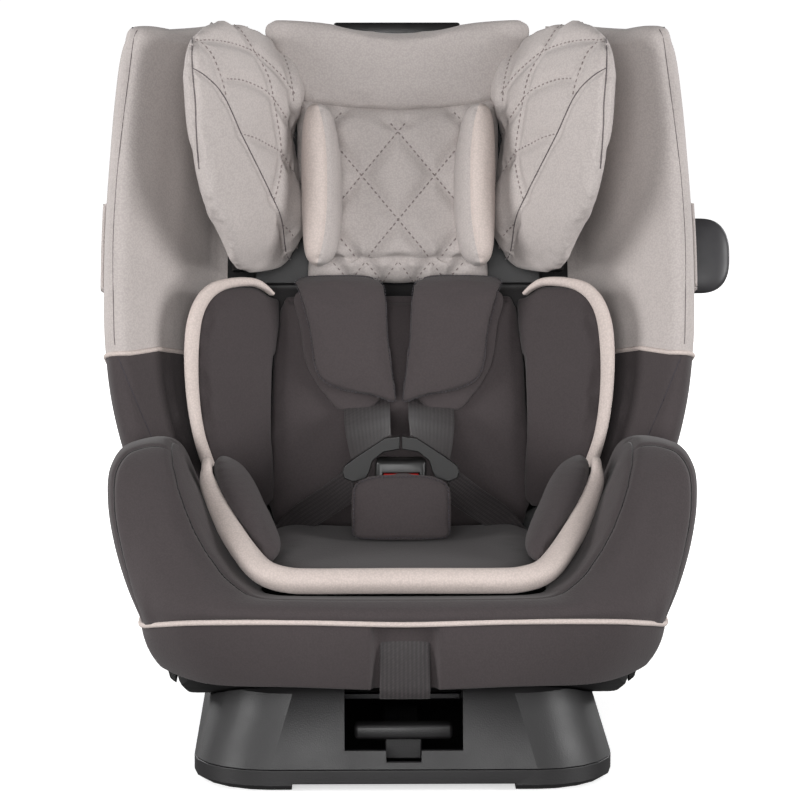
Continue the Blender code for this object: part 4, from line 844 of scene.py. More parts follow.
def make_head_wings(cover):
    """A leaning lens: its middle surface falls forward as it goes out, its thickness is that of a
    pillow, and top and bottom curl back with the third power of the height."""

    def middle(x, z):
        """The lens's middle surface: 1.45 forward for each step out, and never behind its carrier."""
        lean = -0.0545 - 1.45 * (x - 0.1258) + 0.020 * np.abs((z - 0.318) / 0.108) ** 3
        return np.minimum(lean, -0.0045)

    grid = from_back(pillow(inset(closed_line(WING), 0.0035), middle, 0.036, 2.3))
    made = padded_pad("head_wing", grid, "light", cover.filling_cap)
    facing = (-0.75, -0.65, 0)
    seams = [drape(made, line, facing) for line in WING_SEAMS]
    quilt = [drape(made, line, facing) for line in WING_QUILT]
    press(made, [points for points, _ in quilt], cover.quilt_depth, 0.0060)
    press(made, [points for points, _ in seams], cover.seam_depth, 0.0036)
    rows = [drape(made, line, facing) for line in WING_QUILT]
    folds = [drape(made, line, facing) for line in WING_SEAMS]
    # Dark lines of painted shade along each seam's fold.
    seam_shade_lines("head_wing_seam_shade", both_rows(folds), "headrest", "light_seam_shade", 0.0010)
    both_sides(made, "head_wing", "headrest", ("headrest_wing",))
    thread = finish("light_thread")
    sew("head_wing_stitches", both_rows(rows), thread, "headrest", cover.stitch_pitch, 0.0030, 0.0013)


TOP_PAD = (
    (0.0, 0.4268), (0.0063, 0.4268), (0.0314, 0.4276), (0.0440, 0.4296), (0.0549, 0.4322), (0.0700, 0.4330),
    (0.0901, 0.4328), (0.1080, 0.4320), (0.1170, 0.4280), (0.1160, 0.4180), (0.1080, 0.4020), (0.0980, 0.3860),
    (0.0880, 0.3680), (0.0780, 0.3575), (0.0525, 0.3555), (0.0, 0.3520),
)


def make_head_middle(cover):
    """The two pads between the headrest's wings, whose outlines are drawn for +X and mirrored. The quilting
    is two sets of straight lines, x = slope (step - (z - 0.3364) / 0.0372) 0.0305, over a cross seam."""
    half = np.array(TOP_PAD)
    outline = np.concatenate((half, (half * (-1, 1))[-2:0:-1]))
    grid = from_back(pillow(inset(outline, 0.002), lambda x, z: -0.0030 + 0 * x, 0.0140, 4.0, 240))
    made = padded_pad("head_top_pad", grid, "light", 0.003)
    hand_in(made, "headrest", ("headrest_top_pad",))

    edge = np.array(((0.0780, 0.2080), (0.0790, 0.2550), (0.0900, 0.2900), (0.0900, 0.3700), (0.0525, 0.3670),
                     (0.0, 0.3640), (-0.0525, 0.3670), (-0.0900, 0.3700), (-0.0900, 0.2900), (-0.0790, 0.2550),
                     (-0.0780, 0.2080), (-0.0300, 0.2060), (0.0, 0.2055), (0.0300, 0.2060)))
    bend = lambda x, z: -0.0015 + 0.006 * np.clip((0.235 - z) / 0.02, 0, 1)
    grid = from_back(pillow(inset(edge, 0.002), bend, 0.0130, 4.5, 240))
    made = padded_pad("head_centre_pad", grid, "light", 0.0035)
    lines = []
    for slope in (-1, 1):
        for step in (-4, -2, 0, 2):
            z = np.linspace(0.2310, 0.3575, 40)
            x = slope * (step - (z - 0.3364) / 0.0372) * 0.0305
            keep = np.abs(x) < 0.062
            if keep.sum() > 6:
                lines.append(np.stack((x, z), -1)[keep][::5])
    low = [((0.055 * s, 0.2275), (0.040 * s, 0.2120)) for s in (-1, 1)]
    low += [((0.0275 * s, 0.2275), (0.0400 * s, 0.2120)) for s in (-1, 1)]
    low += [((0.0275 * s, 0.2275), (0.0130 * s, 0.2120)) for s in (-1, 1)]
    low += [((0.0, 0.2275), (0.0130 * s, 0.2120)) for s in (-1, 1)]
    seam = ((-0.070, 0.2290), (0.0, 0.2290), (0.070, 0.2290))
    facing = (0, -1, 0)
    quilt = [drape(made, line, facing) for line in lines + [evenly(line, 5) for line in low]]
    press(made, [points for points, _ in quilt], cover.quilt_depth, 0.0065)
    press(made, [drape(made, seam, facing)[0]], cover.seam_depth * 1.3, 0.0040)
    rows = [drape(made, line, facing) for line in lines + [evenly(line, 5) for line in low]]
    hand_in(made, "headrest", ("headrest_centre_pad",))
    sew("head_centre_stitches", rows, finish("light_thread"), "headrest", cover.stitch_pitch, 0.0030, 0.0013)
    make_head_bolsters(cover)


def make_head_bolsters(cover):
    """Small pads beside the head: a cream front and a grey side that faces the head. The colours meet
    on a bowed line, x = 0.058 + 0.0105 |height / 0.07|^3."""
    outline = (
        (0.0683, 0.3585), (0.0590, 0.3550), (0.0536, 0.3475), (0.0485, 0.3232), (0.0463, 0.3008),
        (0.0471, 0.2711), (0.0494, 0.2410), (0.0538, 0.2260), (0.0626, 0.2190), (0.0700, 0.2186),
        (0.0780, 0.2290), (0.0800, 0.2600), (0.0808, 0.3000), (0.0800, 0.3350), (0.0765, 0.3530),
    )

    def middle(x, z):
        return -0.0300 - 0.9 * (np.minimum(x, 0.062) - 0.058) * 1.2

    grid = from_back(pillow(inset(closed_line(outline), 0.0015), middle, 0.0240, 3.4))
    made = padded_pad("head_bolster", grid, "bolster", 0.0035, 2, 0.004)
    place = to_back(read(made.data))
    edge = 0.0580 + 0.0105 * np.abs((place[:, 2] - 0.288) / 0.07) ** 3
    share = made.data.attributes.new("cream_share", "FLOAT", "POINT")
    share.data.foreach_set("value", np.ascontiguousarray((place[:, 0] - edge) * 1000, np.float32))
    height = np.linspace(-0.064, 0.062, 20)
    line = np.stack((0.0580 + 0.0105 * np.abs(height / 0.07) ** 3, 0.288 + height), -1)
    press(made, [drape(made, line, (-0.3, -1, 0))[0]], cover.seam_depth * 0.5, 0.0025)
    both_sides(made, "head_bolster", "headrest", ("head_bolster",))


# =====================================================================================================
# Covers of the seat
# =====================================================================================================
SEAT_NET = (
    ((0, -.2625, .1425), (0, -.2660, .1465), (0, -.2655, .1510), (0, -.2620, .1545), (0, -.2560, .1570),
     (0, -.2510, .1580), (0, -.2450, .1578), (0, -.2330, .1562), (0, -.2200, .1556)),
    ((.080, -.2605, .1432), (.080, -.2640, .1470), (.080, -.2635, .1515), (.080, -.2600, .1550),
     (.080, -.2540, .1574), (.080, -.2490, .1582), (.080, -.2430, .1580), (.080, -.2310, .1564),
     (.080, -.2180, .1556)),
    ((.118, -.2555, .1438), (.1185, -.2600, .1475), (.1185, -.2590, .1525), (.118, -.2540, .1562),
     (.1165, -.2470, .1585), (.1140, -.2410, .1592), (.1110, -.2360, .1585), (.1070, -.2250, .1568),
     (.1010, -.2130, .1560)),
    ((.142, -.2520, .1428), (.1425, -.2570, .1475), (.1420, -.2560, .1530), (.1405, -.2500, .1595),
     (.1375, -.2400, .1655), (.1345, -.2330, .1680), (.1296, -.2250, .1678), (.1180, -.2180, .1620),
     (.1075, -.2030, .1564)),
    ((.162, -.2460, .1405), (.1630, -.2500, .1480), (.1620, -.2470, .1570), (.1590, -.2390, .1665),
     (.1545, -.2280, .1760), (.1500, -.2200, .1795), (.1420, -.2120, .1790), (.1260, -.2020, .1680),
     (.1088, -.1880, .1566)),
    ((.177, -.2370, .1375), (.1790, -.2390, .1480), (.1790, -.2330, .1630), (.1770, -.2210, .1800),
     (.1730, -.2080, .1960), (.1670, -.1990, .2020), (.1580, -.1900, .2003), (.1380, -.1790, .1800),
     (.1092, -.1680, .1568)),
    ((.187, -.2270, .1360), (.1905, -.2270, .1490), (.1920, -.2190, .1700), (.1920, -.2030, .1960),
     (.1885, -.1880, .2190), (.1810, -.1790, .2280), (.1700, -.1710, .2264), (.1450, -.1600, .1930),
     (.1092, -.1500, .1568)),
    ((.1944, -.2190, .1340), (.1995, -.2170, .1500), (.2040, -.2050, .1750), (.2070, -.1870, .2060),
     (.2050, -.1680, .2350), (.1940, -.1560, .2470), (.1765, -.1500, .2448), (.1490, -.1400, .2030),
     (.1092, -.1300, .1568)),
    ((.1985, -.2050, .1310), (.2076, -.2000, .1560), (.2170, -.1850, .1850), (.2232, -.1680, .2150),
     (.2222, -.1500, .2420), (.2080, -.1350, .2560), (.1790, -.1300, .2540), (.1520, -.1200, .2100),
     (.1092, -.1100, .1568)),
    ((.2010, -.1800, .1290), (.2130, -.1750, .1560), (.2232, -.1600, .1860), (.2288, -.1430, .2160),
     (.2272, -.1280, .2410), (.2130, -.1120, .2565), (.1800, -.1050, .2560), (.1550, -.0950, .2110),
     (.1092, -.0900, .1568)),
    ((.2015, -.1300, .1275), (.2135, -.1250, .1560), (.2235, -.1150, .1860), (.2285, -.1050, .2140),
     (.2270, -.0950, .2380), (.2130, -.0850, .2535), (.1790, -.0750, .2530), (.1560, -.0700, .2090),
     (.1092, -.0650, .1568)),
    ((.2015, -.0700, .1270), (.2135, -.0650, .1560), (.2235, -.0600, .1860), (.2280, -.0550, .2120),
     (.2265, -.0500, .2340), (.2130, -.0450, .2480), (.1790, -.0400, .2480), (.1560, -.0400, .2060),
     (.1092, -.0380, .1568)),
    ((.2015, .0160, .1270), (.2130, .0100, .1560), (.2200, -.0020, .1860), (.2255, -.0240, .2100),
     (.2265, -.0190, .2300), (.2130, -.0140, .2430), (.1790, -.0140, .2430), (.1560, -.0260, .2030),
     (.1092, -.0395, .1568)),
)
PIPE = (
    (0, -.2635, .1425), (.080, -.2615, .1439), (.154, -.2515, .1419), (.1853, -.2275, .1358),
    (.2009, -.1910, .1286), (.2015, -.1300, .1275), (.2015, -.0700, .1270), (.2015, .0160, .1270),
)
APRON_HEM = (
    (0, -.2500, .0896), (.0790, -.2500, .0921), (.1476, -.2250, .0891), (.1849, -.1900, .0941),
    (.1885, -.1640, .0985), (.1895, -.1300, .1010), (.1900, -.0700, .1020), (.1900, .0160, .1020),
)


def make_seat_cover(cover):
    """Two splines across a net of points: one along the seat's rim from front to back, one over the
    horn from its foot outside to its foot inside. It closes inside the bucket and at its rear ends."""
    net = np.array(SEAT_NET)
    grid = spline(spline(whole(net), 25 * 16 + 1, 0), 90, 1)
    ends = [np.broadcast_to(grid[i].mean(axis=0), grid[i].shape)[None] for i in (0, -1)]
    steps = [grid[i] + (end[0] - grid[i]) * 0.25 * (1, 0, 1) for i, end in ((0, ends[0]), (-1, ends[1]))]
    grid = np.concatenate((ends[0], steps[0][None], grid, steps[1][None], ends[1]))
    made = closed_piece("seat_cover", grid, finish("dark"))
    fine = spline(whole(net), 25 * 16 + 1, 0)
    inner = spline(fine, 9 * 20, 1)[:, int(round(6 / 8 * 179))]
    at = int(round((12 + 8) / 24 * 400))
    edges = [spline(fine[i], 90)[2:66] for i in (at, 400 - at)]
    inner = evenly(inner, 700)[60:-60]
    edges = [evenly(edge, 200) for edge in edges]
    lines = [inner, *edges]
    points, normals = read(made.data), read(made.data, "normals")
    ways = [normals[nearest(line, points)[0]] for line in lines]
    press(made, [inner], cover.seam_depth * 0.7, 0.0032)
    press(made, edges, cover.seam_depth * 0.5, 0.0026)
    points = read(made.data)
    rows = [(points[nearest(line, points)[0]], way) for line, way in zip(lines, ways)]
    kernel = np.ones(5) / 5
    rows = [
        (np.stack([np.convolve(line[:, k], kernel, mode="valid") for k in range(3)], -1), way)
        for line, way in rows
    ]
    # Dark lines of painted shade along the seams' folds.
    seam_shade_lines("seat_cover_seam_shade", rows, "seat", "black_seam_shade", 0.0011)
    swap = ("seat_cushion", "seat_bolster_left", "seat_bolster_right")
    hand_in(made, "seat", swap)
    make_apron()


def make_apron():
    """Rails from the piping down to the hem, each a mix of the two, pushed out in the middle by a
    parabola. A channel for the strap is pressed into its front."""
    top = evenly(spline(whole(PIPE), 400), 420)
    hem = evenly(spline(whole(APRON_HEM), 400), 420)
    out = np.cross(np.gradient(top, axis=0), hem - top)
    out /= np.linalg.norm(out, axis=1)[:, None]
    out *= np.sign((out * (0, -1, 0)).sum(1).sum())
    share = np.linspace(0, 1, 44)
    rails = top + share[:, None, None] * (hem - top) + (0.0120 * share * (1 - share))[:, None, None] * out
    middle = np.clip((0.0265 - np.abs(rails[..., 0])) / 0.004, 0, 1)
    rails[..., 1] += 0.0085 * middle * (rails[..., 1] < -0.2)
    turn = [rails[0] - out * 0.004, rails[0] - out * 0.001]
    under = [rails[-1] - out * 0.0015 + (0, 0, -0.0012), rails[-1] - out * 0.005]
    grid = np.concatenate((np.array(turn), rails, np.array(under)))
    grid = np.moveaxis(grid, 0, 1)
    ends = [np.broadcast_to(grid[i].mean(axis=0), grid[i].shape)[None] for i in (0, -1)]
    grid = np.concatenate((ends[0], grid, ends[1]))
    made = closed_piece("front_apron_cover", grid, finish("dark"))
    hand_in(made, "seat", ("front_apron",))
    path = evenly(spline(whole(PIPE), 400), 500) + (0, -0.0008, 0)
    made = closed_piece("seat_piping", tube(path, 0.0042, 0.0042, (0, 0, 1), 14), finish("cream"))
    hand_in(made, "seat")


# =====================================================================================================
# The insert
# =====================================================================================================
THIGH = (
    (0.1488, 0.2392), (0.1476, 0.2249), (0.1370, 0.2084), (0.1231, 0.1933), (0.1060, 0.1748), (0.1000, 0.1720),
    (0.0960, 0.1765), (0.0925, 0.1833), (0.0960, 0.1900), (0.0995, 0.1980), (0.1077, 0.2113), (0.1146, 0.2232),
    (0.1262, 0.2359), (0.1377, 0.2415), (0.1460, 0.2425),
)
BAND = (
    (.1535, -.0930, .2330), (.1535, -.0985, .2325), (.1524, -.1080, .2240), (.1443, -.1300, .2100),
    (.1320, -.1600, .1933), (.1155, -.1920, .1768), (.1030, -.2080, .1700), (.0870, -.2160, .1672),
    (.0700, -.2200, .1672), (.0350, -.2220, .1676), (0, -.2225, .1678),
)
BAND_WIDTHS = (0.0070, 0.0085, 0.0130, 0.0160, 0.0180, 0.0190, 0.0180, 0.0175, 0.0172, 0.0172, 0.0172)
TORSO = (
    (0.0975, 0.1992), (0.1073, 0.2028), (0.1160, 0.2084), (0.1262, 0.2094), (0.1398, 0.2075), (0.1535, 0.2024),
    (0.1635, 0.1911), (0.1703, 0.1732), (0.1728, 0.1542), (0.1732, 0.1336), (0.1718, 0.1092), (0.1685, 0.0854),
    (0.1633, 0.0631), (0.1560, 0.0450), (0.1400, 0.0260), (0.1200, 0.0160), (0.1030, 0.0231), (0.1025, 0.0681),
    (0.1015, 0.1034), (0.0990, 0.1383), (0.0955, 0.1733),
)
TORSO_RIM_OUT = (
    (0.1040, 0.1990), (0.1090, 0.2040), (0.1160, 0.2084), (0.1262, 0.2094), (0.1398, 0.2075), (0.1535, 0.2024),
    (0.1635, 0.1911), (0.1703, 0.1732), (0.1728, 0.1542), (0.1732, 0.1336), (0.1718, 0.1092), (0.1685, 0.0854),
    (0.1633, 0.0631), (0.1599, 0.0547),
)
TORSO_RIM_IN = (
    (0.1060, 0.1975), (0.1105, 0.2005), (0.1163, 0.2029), (0.1228, 0.2040), (0.1350, 0.2020), (0.1467, 0.1975),
    (0.1568, 0.1881), (0.1635, 0.1737), (0.1660, 0.1545), (0.1663, 0.1268), (0.1642, 0.0992), (0.1599, 0.0753),
    (0.1533, 0.0567), (0.1515, 0.0520),
)


def make_insert(cover):
    """Pads of the insert. The seat panel rises by 6 mm with the square of x, the thigh pads lean forward
    by 1.35 of their depth below 0.24 m, and the side wings come forward by 0.66 of their distance out.
    Cream rims are tubes along the seat's band and the side wings' outer edge."""
    edge = np.array(((0.0, -0.2190), (0.0700, -0.2165), (0.0960, -0.2060), (0.1060, -0.1880), (0.1110, -0.1500),
                     (0.1110, -0.0500), (0.1080, 0.0000), (0.0950, 0.0250), (0.0, 0.0280)))
    edge = np.concatenate((edge, (edge * (-1, 1))[-2:0:-1]))
    grid = pillow(inset(edge, 0.002), lambda x, y: 0.1615 + 0.0060 * (x / 0.11) ** 2, 0.0068, 4.0, 240)
    made = padded_pad("insert_seat_panel", grid[..., (0, 2, 1)], "dark", 0.0025)
    hand_in(made, "seat", ("insert_seat",))

    grid = pillow(inset(closed_line(THIGH), 0.0010), lambda x, z: -0.0820 - 1.35 * (0.240 - z), 0.0320, 2.6)
    made = padded_pad("insert_thigh", grid, "dark", 0.0035, 2, 0.004)
    both_sides(made, "insert_thigh_pad", "seat", ("insert_thigh",))

    path = evenly(spline(whole(np.array(BAND)[::-1]), 500), 500)
    out = np.array(BAND)[::-1, 0][:-1].tolist() + [0.1526]
    width = np.interp(np.abs(path[:, 0]), out, np.array(BAND_WIDTHS)[::-1])
    width = np.where(path[:, 2] > 0.2240, np.interp(path[:, 2], (0.2240, 0.2330), (0.0130, 0.0085)), width)
    grid = tube(path, width, 0.0200, (0, -0.7, 0.7), 28, 2.6)
    made = closed_piece("insert_rim", grid, finish("cream"))
    hand_in(made, "seat")

    outline = np.array(((0.0, 0.2040), (0.1000, 0.2010), (0.1060, 0.1733), (0.1096, 0.1383), (0.1120, 0.1034),
                        (0.1130, 0.0681), (0.1130, 0.0231), (0.1050, 0.0000), (0.0, -0.0020)))
    outline = np.concatenate((outline, (outline * (-1, 1))[-2:0:-1]))
    grid = from_back(pillow(inset(outline, 0.002), lambda x, z: -0.0105 + 0 * x, 0.0095, 4.5, 240))
    made = padded_pad("insert_back_panel", grid, "dark", 0.0022)
    seam = ((-0.090, 0.1950), (-0.040, 0.1940), (0.040, 0.1940), (0.090, 0.1950))
    press(made, [drape(made, seam, (0, -1, 0))[0]], cover.seam_depth, 0.0035)
    hand_in(made, "seat", ("insert_back",))

    lean = lambda x, z: -0.0140 - (x - 0.098) * 0.66
    grid = from_back(pillow(inset(closed_line(TORSO), 0.002), lean, 0.0085, 3.4))
    made = padded_pad("insert_torso", grid, "dark", 0.0030)
    both_sides(made, "insert_torso_pad", "seat", ("insert_torso",))
    outer, inner = (evenly(spline(line, 200), 200) for line in (TORSO_RIM_OUT, TORSO_RIM_IN))
    middle = (outer + inner) / 2
    width = np.linalg.norm(outer - inner, axis=1) + 0.0010
    way = np.stack((middle[:, 0], -0.0205 - (middle[:, 0] - 0.098) * 0.66, middle[:, 1]), -1)
    for side, label in SIDES:
        grid = flipped(tube(from_back(way), width, 0.0100, from_back((-0.35, -1, 0)) - BIGHT, 22, 2.4), side)
        made = closed_piece(f"insert_torso_rim_{label}", grid, finish("cream"))
        hand_in(made, "seat")

    # The back cushion's cover: real cloth, coloured near black as painted shade for the gap between the insert
    # and the wings.
    outline = np.array(((0.0, 0.4100), (0.1450, 0.4100), (0.1520, 0.3900), (0.1530, 0.1500),
                        (0.1480, 0.0300), (0.0, 0.0200)))
    outline = np.concatenate((outline, (outline * (-1, 1))[-2:0:-1]))
    step = lambda x, z: -0.0010 + 0.0280 * np.clip((z - 0.206) / 0.006, 0, 1)
    grid = from_back(pillow(outline, step, 0.0050, 6.0, 300))
    made = closed_piece("back_shade_lining", grid, finish("lining"))
    hand_in(made, "seat", ("back_cushion",))


# =====================================================================================================
# Harness
# =====================================================================================================
SHOULDER_PAD = (
    (0.0856, 0.2146), (0.0464, 0.2176), (0.0222, 0.2160), (0.0118, 0.2095), (0.0083, 0.1948), (0.0051, 0.1531),
    (0.0012, 0.1120), (0.0030, 0.1045), (0.0209, 0.1093), (0.0466, 0.1138), (0.0639, 0.1218), (0.0709, 0.1321),
    (0.0742, 0.1460), (0.0777, 0.1706), (0.0837, 0.1967),
)
UNDER_PAD = (
    (0.0849, 0.1981), (0.0816, 0.1715), (0.0775, 0.1433), (0.0701, 0.1267), (0.0619, 0.1151), (0.0472, 0.1010),
    (0.0200, 0.1060), (0.0100, 0.1300), (0.0140, 0.2000), (0.0500, 0.2060),
)
CROTCH_PAD = (
    (0.0026, 0.2262), (0.0186, 0.2255), (0.0330, 0.2215), (0.0402, 0.2160), (0.0416, 0.2050), (0.0416, 0.1850),
    (0.0405, 0.1737), (0.0200, 0.1715), (0.0, 0.1712),
)


def ribbon(name, left, right, thickness, rows=120, around=28):
    """Flat webbing between two edges: an eighth-power oval across, as wide as the edges are apart. Its
    UV map holds the length along it and the width across it, in metres."""
    a, b = (evenly(spline(edge, 300), rows) for edge in (left, right))
    middle, across = (a + b) / 2, (b - a) / 2
    ahead = np.gradient(middle, axis=0)
    up = np.cross(ahead, across)
    up /= np.linalg.norm(up, axis=1)[:, None]
    angle = np.linspace(0, 2 * math.pi, around, endpoint=False)
    c = np.sign(np.cos(angle)) * np.abs(np.cos(angle)) ** 0.30
    s = np.sign(np.sin(angle)) * np.abs(np.sin(angle)) ** 0.30
    grid = middle[:, None] + c[:, None] * across[:, None] + s[:, None] * up[:, None] * thickness / 2
    index = np.arange(rows * around).reshape(rows, around)
    ring = np.hstack((index, index[:, :1]))
    faces = np.stack((ring[:-1, :-1], ring[:-1, 1:], ring[1:, 1:], ring[1:, :-1]), -1).reshape(-1, 4).tolist()
    faces += [index[0, ::-1].tolist(), index[-1].tolist()]
    mesh = bpy.data.meshes.new(name)
    mesh.from_pydata(grid.reshape(-1, 3).tolist(), [], faces)
    bm = bmesh.new()
    bm.from_mesh(mesh)
    bmesh.ops.recalc_face_normals(bm, faces=bm.faces[:])
    bm.to_mesh(mesh)
    bm.free()
    run = np.concatenate(([0], np.cumsum(np.linalg.norm(np.diff(middle, axis=0), axis=1))))
    half = np.linalg.norm(across, axis=1)
    spot = np.stack(np.broadcast_arrays(run[:, None], c * half[:, None]), -1).reshape(-1, 2)
    corner = np.empty(len(mesh.loops), np.int32)
    mesh.loops.foreach_get("vertex_index", corner)
    own = mesh.uv_layers.new(name="strap")
    own.data.foreach_set("uv", np.ascontiguousarray(spot[corner], np.float32).ravel())
    mesh.shade_smooth()
    return add_piece(name, mesh, finish("webbing"))


def make_harness():
    """Shoulder pads, webbing and the crotch pad. Each pad is a pillow on a leaning plane, and each strap a
    ribbon between two curves."""
    pad = lambda x, z: -0.0335 + 0.0190 * np.clip((z - 0.192) / 0.021, 0, 1) ** 2
    grid = from_back(pillow(inset(closed_line(SHOULDER_PAD), 0.0010), pad, 0.0060, 3.4))
    made = padded_pad("shoulder_pad", grid, "dark", 0.0025, 2, 0.003)
    rows = [drape(made, inset(closed_line(SHOULDER_PAD), 0.0035), (0, -1, 0))]
    press(made, [rows[0][0]], 0.0009, 0.0015)
    both_sides(made, "shoulder_pad_cover", "headrest", ("shoulder_pad",))
    sew("shoulder_pad_stitches", both_rows(rows), finish("dark_thread_and_seam_shade"), "headrest", 0.0032, 0.0022, 0.0009)
    grid = from_back(pillow(closed_line(UNDER_PAD), lambda x, z: -0.0265 + 0 * x, 0.0030, 4.0))
    made = closed_piece("shoulder_flap", grid, finish("dark"))
    both_sides(made, "shoulder_flap", "headrest", ())

    lie = -0.0235
    inner = [*from_back(((0.0230, 0.030, 0.2080), (0.0225, 0.000, 0.2080), (0.0220, lie + 0.004, 0.2050),
                         (0.0190, lie, 0.1700), (0.0110, lie, 0.1300), (0.0080, lie, 0.1080)))]
    inner += [(0.0075, 0.0300, 0.2570), (0.0078, -0.0060, 0.2535), (0.0080, -0.0440, 0.2522)]
    outer = [*from_back(((0.0630, 0.030, 0.2080), (0.0625, 0.000, 0.2080), (0.0620, lie + 0.004, 0.2050),
                         (0.0580, lie, 0.1700), (0.0500, lie, 0.1300), (0.0455, lie, 0.1080)))]
    outer += [(0.0450, 0.0280, 0.2500), (0.0425, -0.0060, 0.2395), (0.0385, -0.0440, 0.2285)]
    lap_high = ((0.0400, -0.0465, 0.2290), (0.0640, -0.0250, 0.2070),
                (0.0897, 0.0000, 0.1845), (0.1088, 0.0100, 0.1596))
    lap_low = ((0.0370, -0.0440, 0.1990), (0.0560, -0.0230, 0.1830),
               (0.0780, 0.0000, 0.1650), (0.0960, 0.0120, 0.1480))
    for side, label in SIDES:
        made = ribbon(f"shoulder_webbing_{label}", flipped(inner, side), flipped(outer, side), 0.0022, 260)
        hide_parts(f"shoulder_strap_{label}")
        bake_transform(made)
        made = ribbon(f"lap_webbing_{label}", flipped(lap_high, side), flipped(lap_low, side), 0.0020)
        hand_in(made, "seat", (f"lap_strap_{label}",))

    half = np.array(CROTCH_PAD)
    outline = np.concatenate((half, (half * (-1, 1))[-2:0:-1]))
    grid = pillow(inset(outline, 0.0010), lambda x, z: -0.0690 - 0.25 * (0.200 - z), 0.0050, 3.6, 160)
    made = padded_pad("crotch_pad_cover", grid, "dark", 0.0022, 2, 0.003)
    line = inset(outline, 0.0040)
    rows = [drape(made, np.concatenate((line, line[:1])), (0, -1, 0), True)]
    press(made, [rows[0][0]], 0.0008, 0.0015)
    hand_in(made, "seat", ("crotch_pad",))
    sew("crotch_pad_stitches", rows, finish("dark_thread_and_seam_shade"), "seat", 0.0032, 0.0022, 0.0009)

    y = -0.0470
    made = ribbon("crotch_webbing", ((-0.015, y, 0.1650), (-0.015, y, 0.1780), (-0.015, y, 0.1880)),
                  ((0.015, y, 0.1650), (0.015, y, 0.1780), (0.015, y, 0.1880)), 0.0024, 20)
    hand_in(made, "seat", ("crotch_strap",))
    run = ((-0.205, 0.1348), (-0.240, 0.1352), (-0.2500, 0.1335), (-0.2525, 0.1280), (-0.2530, 0.1120),
           (-0.2510, 0.0900), (-0.2480, 0.0828))
    edges = [[(x, y, z) for y, z in run] for x in (-0.019, 0.019)]
    made = ribbon("adjuster_webbing", *edges, 0.0022)
    hand_in(made, "seat", ("adjuster_strap",))
    run = ((0.1296, 0.2671), (0.1210, 0.2360), (0.1120, 0.2000), (0.1042, 0.1700))
    edges = [[(x, y, z) for y, z in run] for x in (-0.015, 0.015)]
    made = ribbon("pull_webbing", *edges, 0.0018)
    hand_in(made, "seat", ("harness_pull_strap",))


# =====================================================================================================
# Mouldings and fittings
# =====================================================================================================
def recast(names, key, radius, angle=32):
    """Finer copies of mouldings that stand in for them: the loose triangles are welded, surfaces that
    turn by less than angle are shaded as one, and each sharp edge gets a small rounding."""
    for name in names:
        mesh = frame["nodes"][name].data.copy()
        bm = bmesh.new()
        bm.from_mesh(mesh)
        bmesh.ops.remove_doubles(bm, verts=bm.verts[:], dist=0.00002)
        flat = math.radians(1.0)
        bmesh.ops.dissolve_limit(bm, angle_limit=flat, verts=bm.verts[:], edges=bm.edges[:])
        bmesh.ops.recalc_face_normals(bm, faces=bm.faces[:])
        bm.to_mesh(mesh)
        bm.free()
        mesh.materials.clear()
        mesh.name = f"{name}_moulding"
        mesh.shade_smooth()
        mesh.set_sharp_from_angle(angle=math.radians(angle))
        made = add_piece(mesh.name, mesh, finish(key))
        if radius:
            edge = made.modifiers.new("edge radius", "BEVEL")
            edge.width = radius
            edge.segments = 3
            edge.limit_method = "ANGLE"
            edge.angle_limit = math.radians(angle)
            edge.use_clamp_overlap = True
            edge.harden_normals = True
        hand_in(made, frame["nodes"][name]["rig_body"], (name,))


def make_base(parts):
    """The base's mouldings and its rubber feet."""
    recast(("base_tray", "base_cover"), "base", parts.edge_radius)
    recast(("recline_handle",), "shell", parts.edge_radius)
    coat(("foot_strip_left", "foot_strip_right"), "rubber")


def make_shell(parts):
    """The bucket's mouldings and the plate that carries the headrest."""
    recast(("seat_shell",), "shell", 0.0)
    recast(("rear_cover", "pod_housing_left", "pod_housing_right"), "shell", parts.edge_radius)
    coat(("headrest_plate", "belt_guide_left", "belt_guide_right", "recline_keel", "adjuster_housing"), "shell")


def make_pods():
    """Side pods: the paddle's outline is a superellipse of the sixth power towards the seat and of
    the power 2.6 towards its rounded end, and its thickness that of a pillow."""
    for side, label in SIDES:
        points = np.empty(len(frame["nodes"][f"side_pod_{label}"].data.vertices) * 3, np.float32)
        frame["nodes"][f"side_pod_{label}"].data.vertices.foreach_get("co", points)
        place = to_back(points.reshape(-1, 3))
        low, high = place.min(0), place.max(0)
        thin = int(np.argmin(high - low))
        wide = [k for k in range(3) if k != thin]
        middle, half = (low + high) / 2, (high - low) / 2
        angle = np.linspace(0, 2 * math.pi, 160, endpoint=False)
        outer = np.cos(angle) * (1 if thin == 1 else -1) * (side if thin == 1 else 1) > 0
        power = np.where(outer, 2 / 2.7, 2 / 8)
        edge = np.stack((np.sign(np.cos(angle)) * np.abs(np.cos(angle)) ** power * half[wide[0]],
                         np.sign(np.sin(angle)) * np.abs(np.sin(angle)) ** power * half[wide[1]]), -1)
        flat = pillow(edge, lambda x, z: 0 * x, half[thin], 3.2, 160)
        grid = np.empty_like(flat)
        grid[..., wide[0]], grid[..., thin], grid[..., wide[1]] = flat[..., 0], flat[..., 1], flat[..., 2]
        # The paddle's finish is lighter than the black housing: a painted highlight.
        made = closed_piece(f"pod_paddle_{label}", from_back(grid + middle), finish("paddle"))
        hand_in(made, f"pod_{label}", (f"side_pod_{label}",))


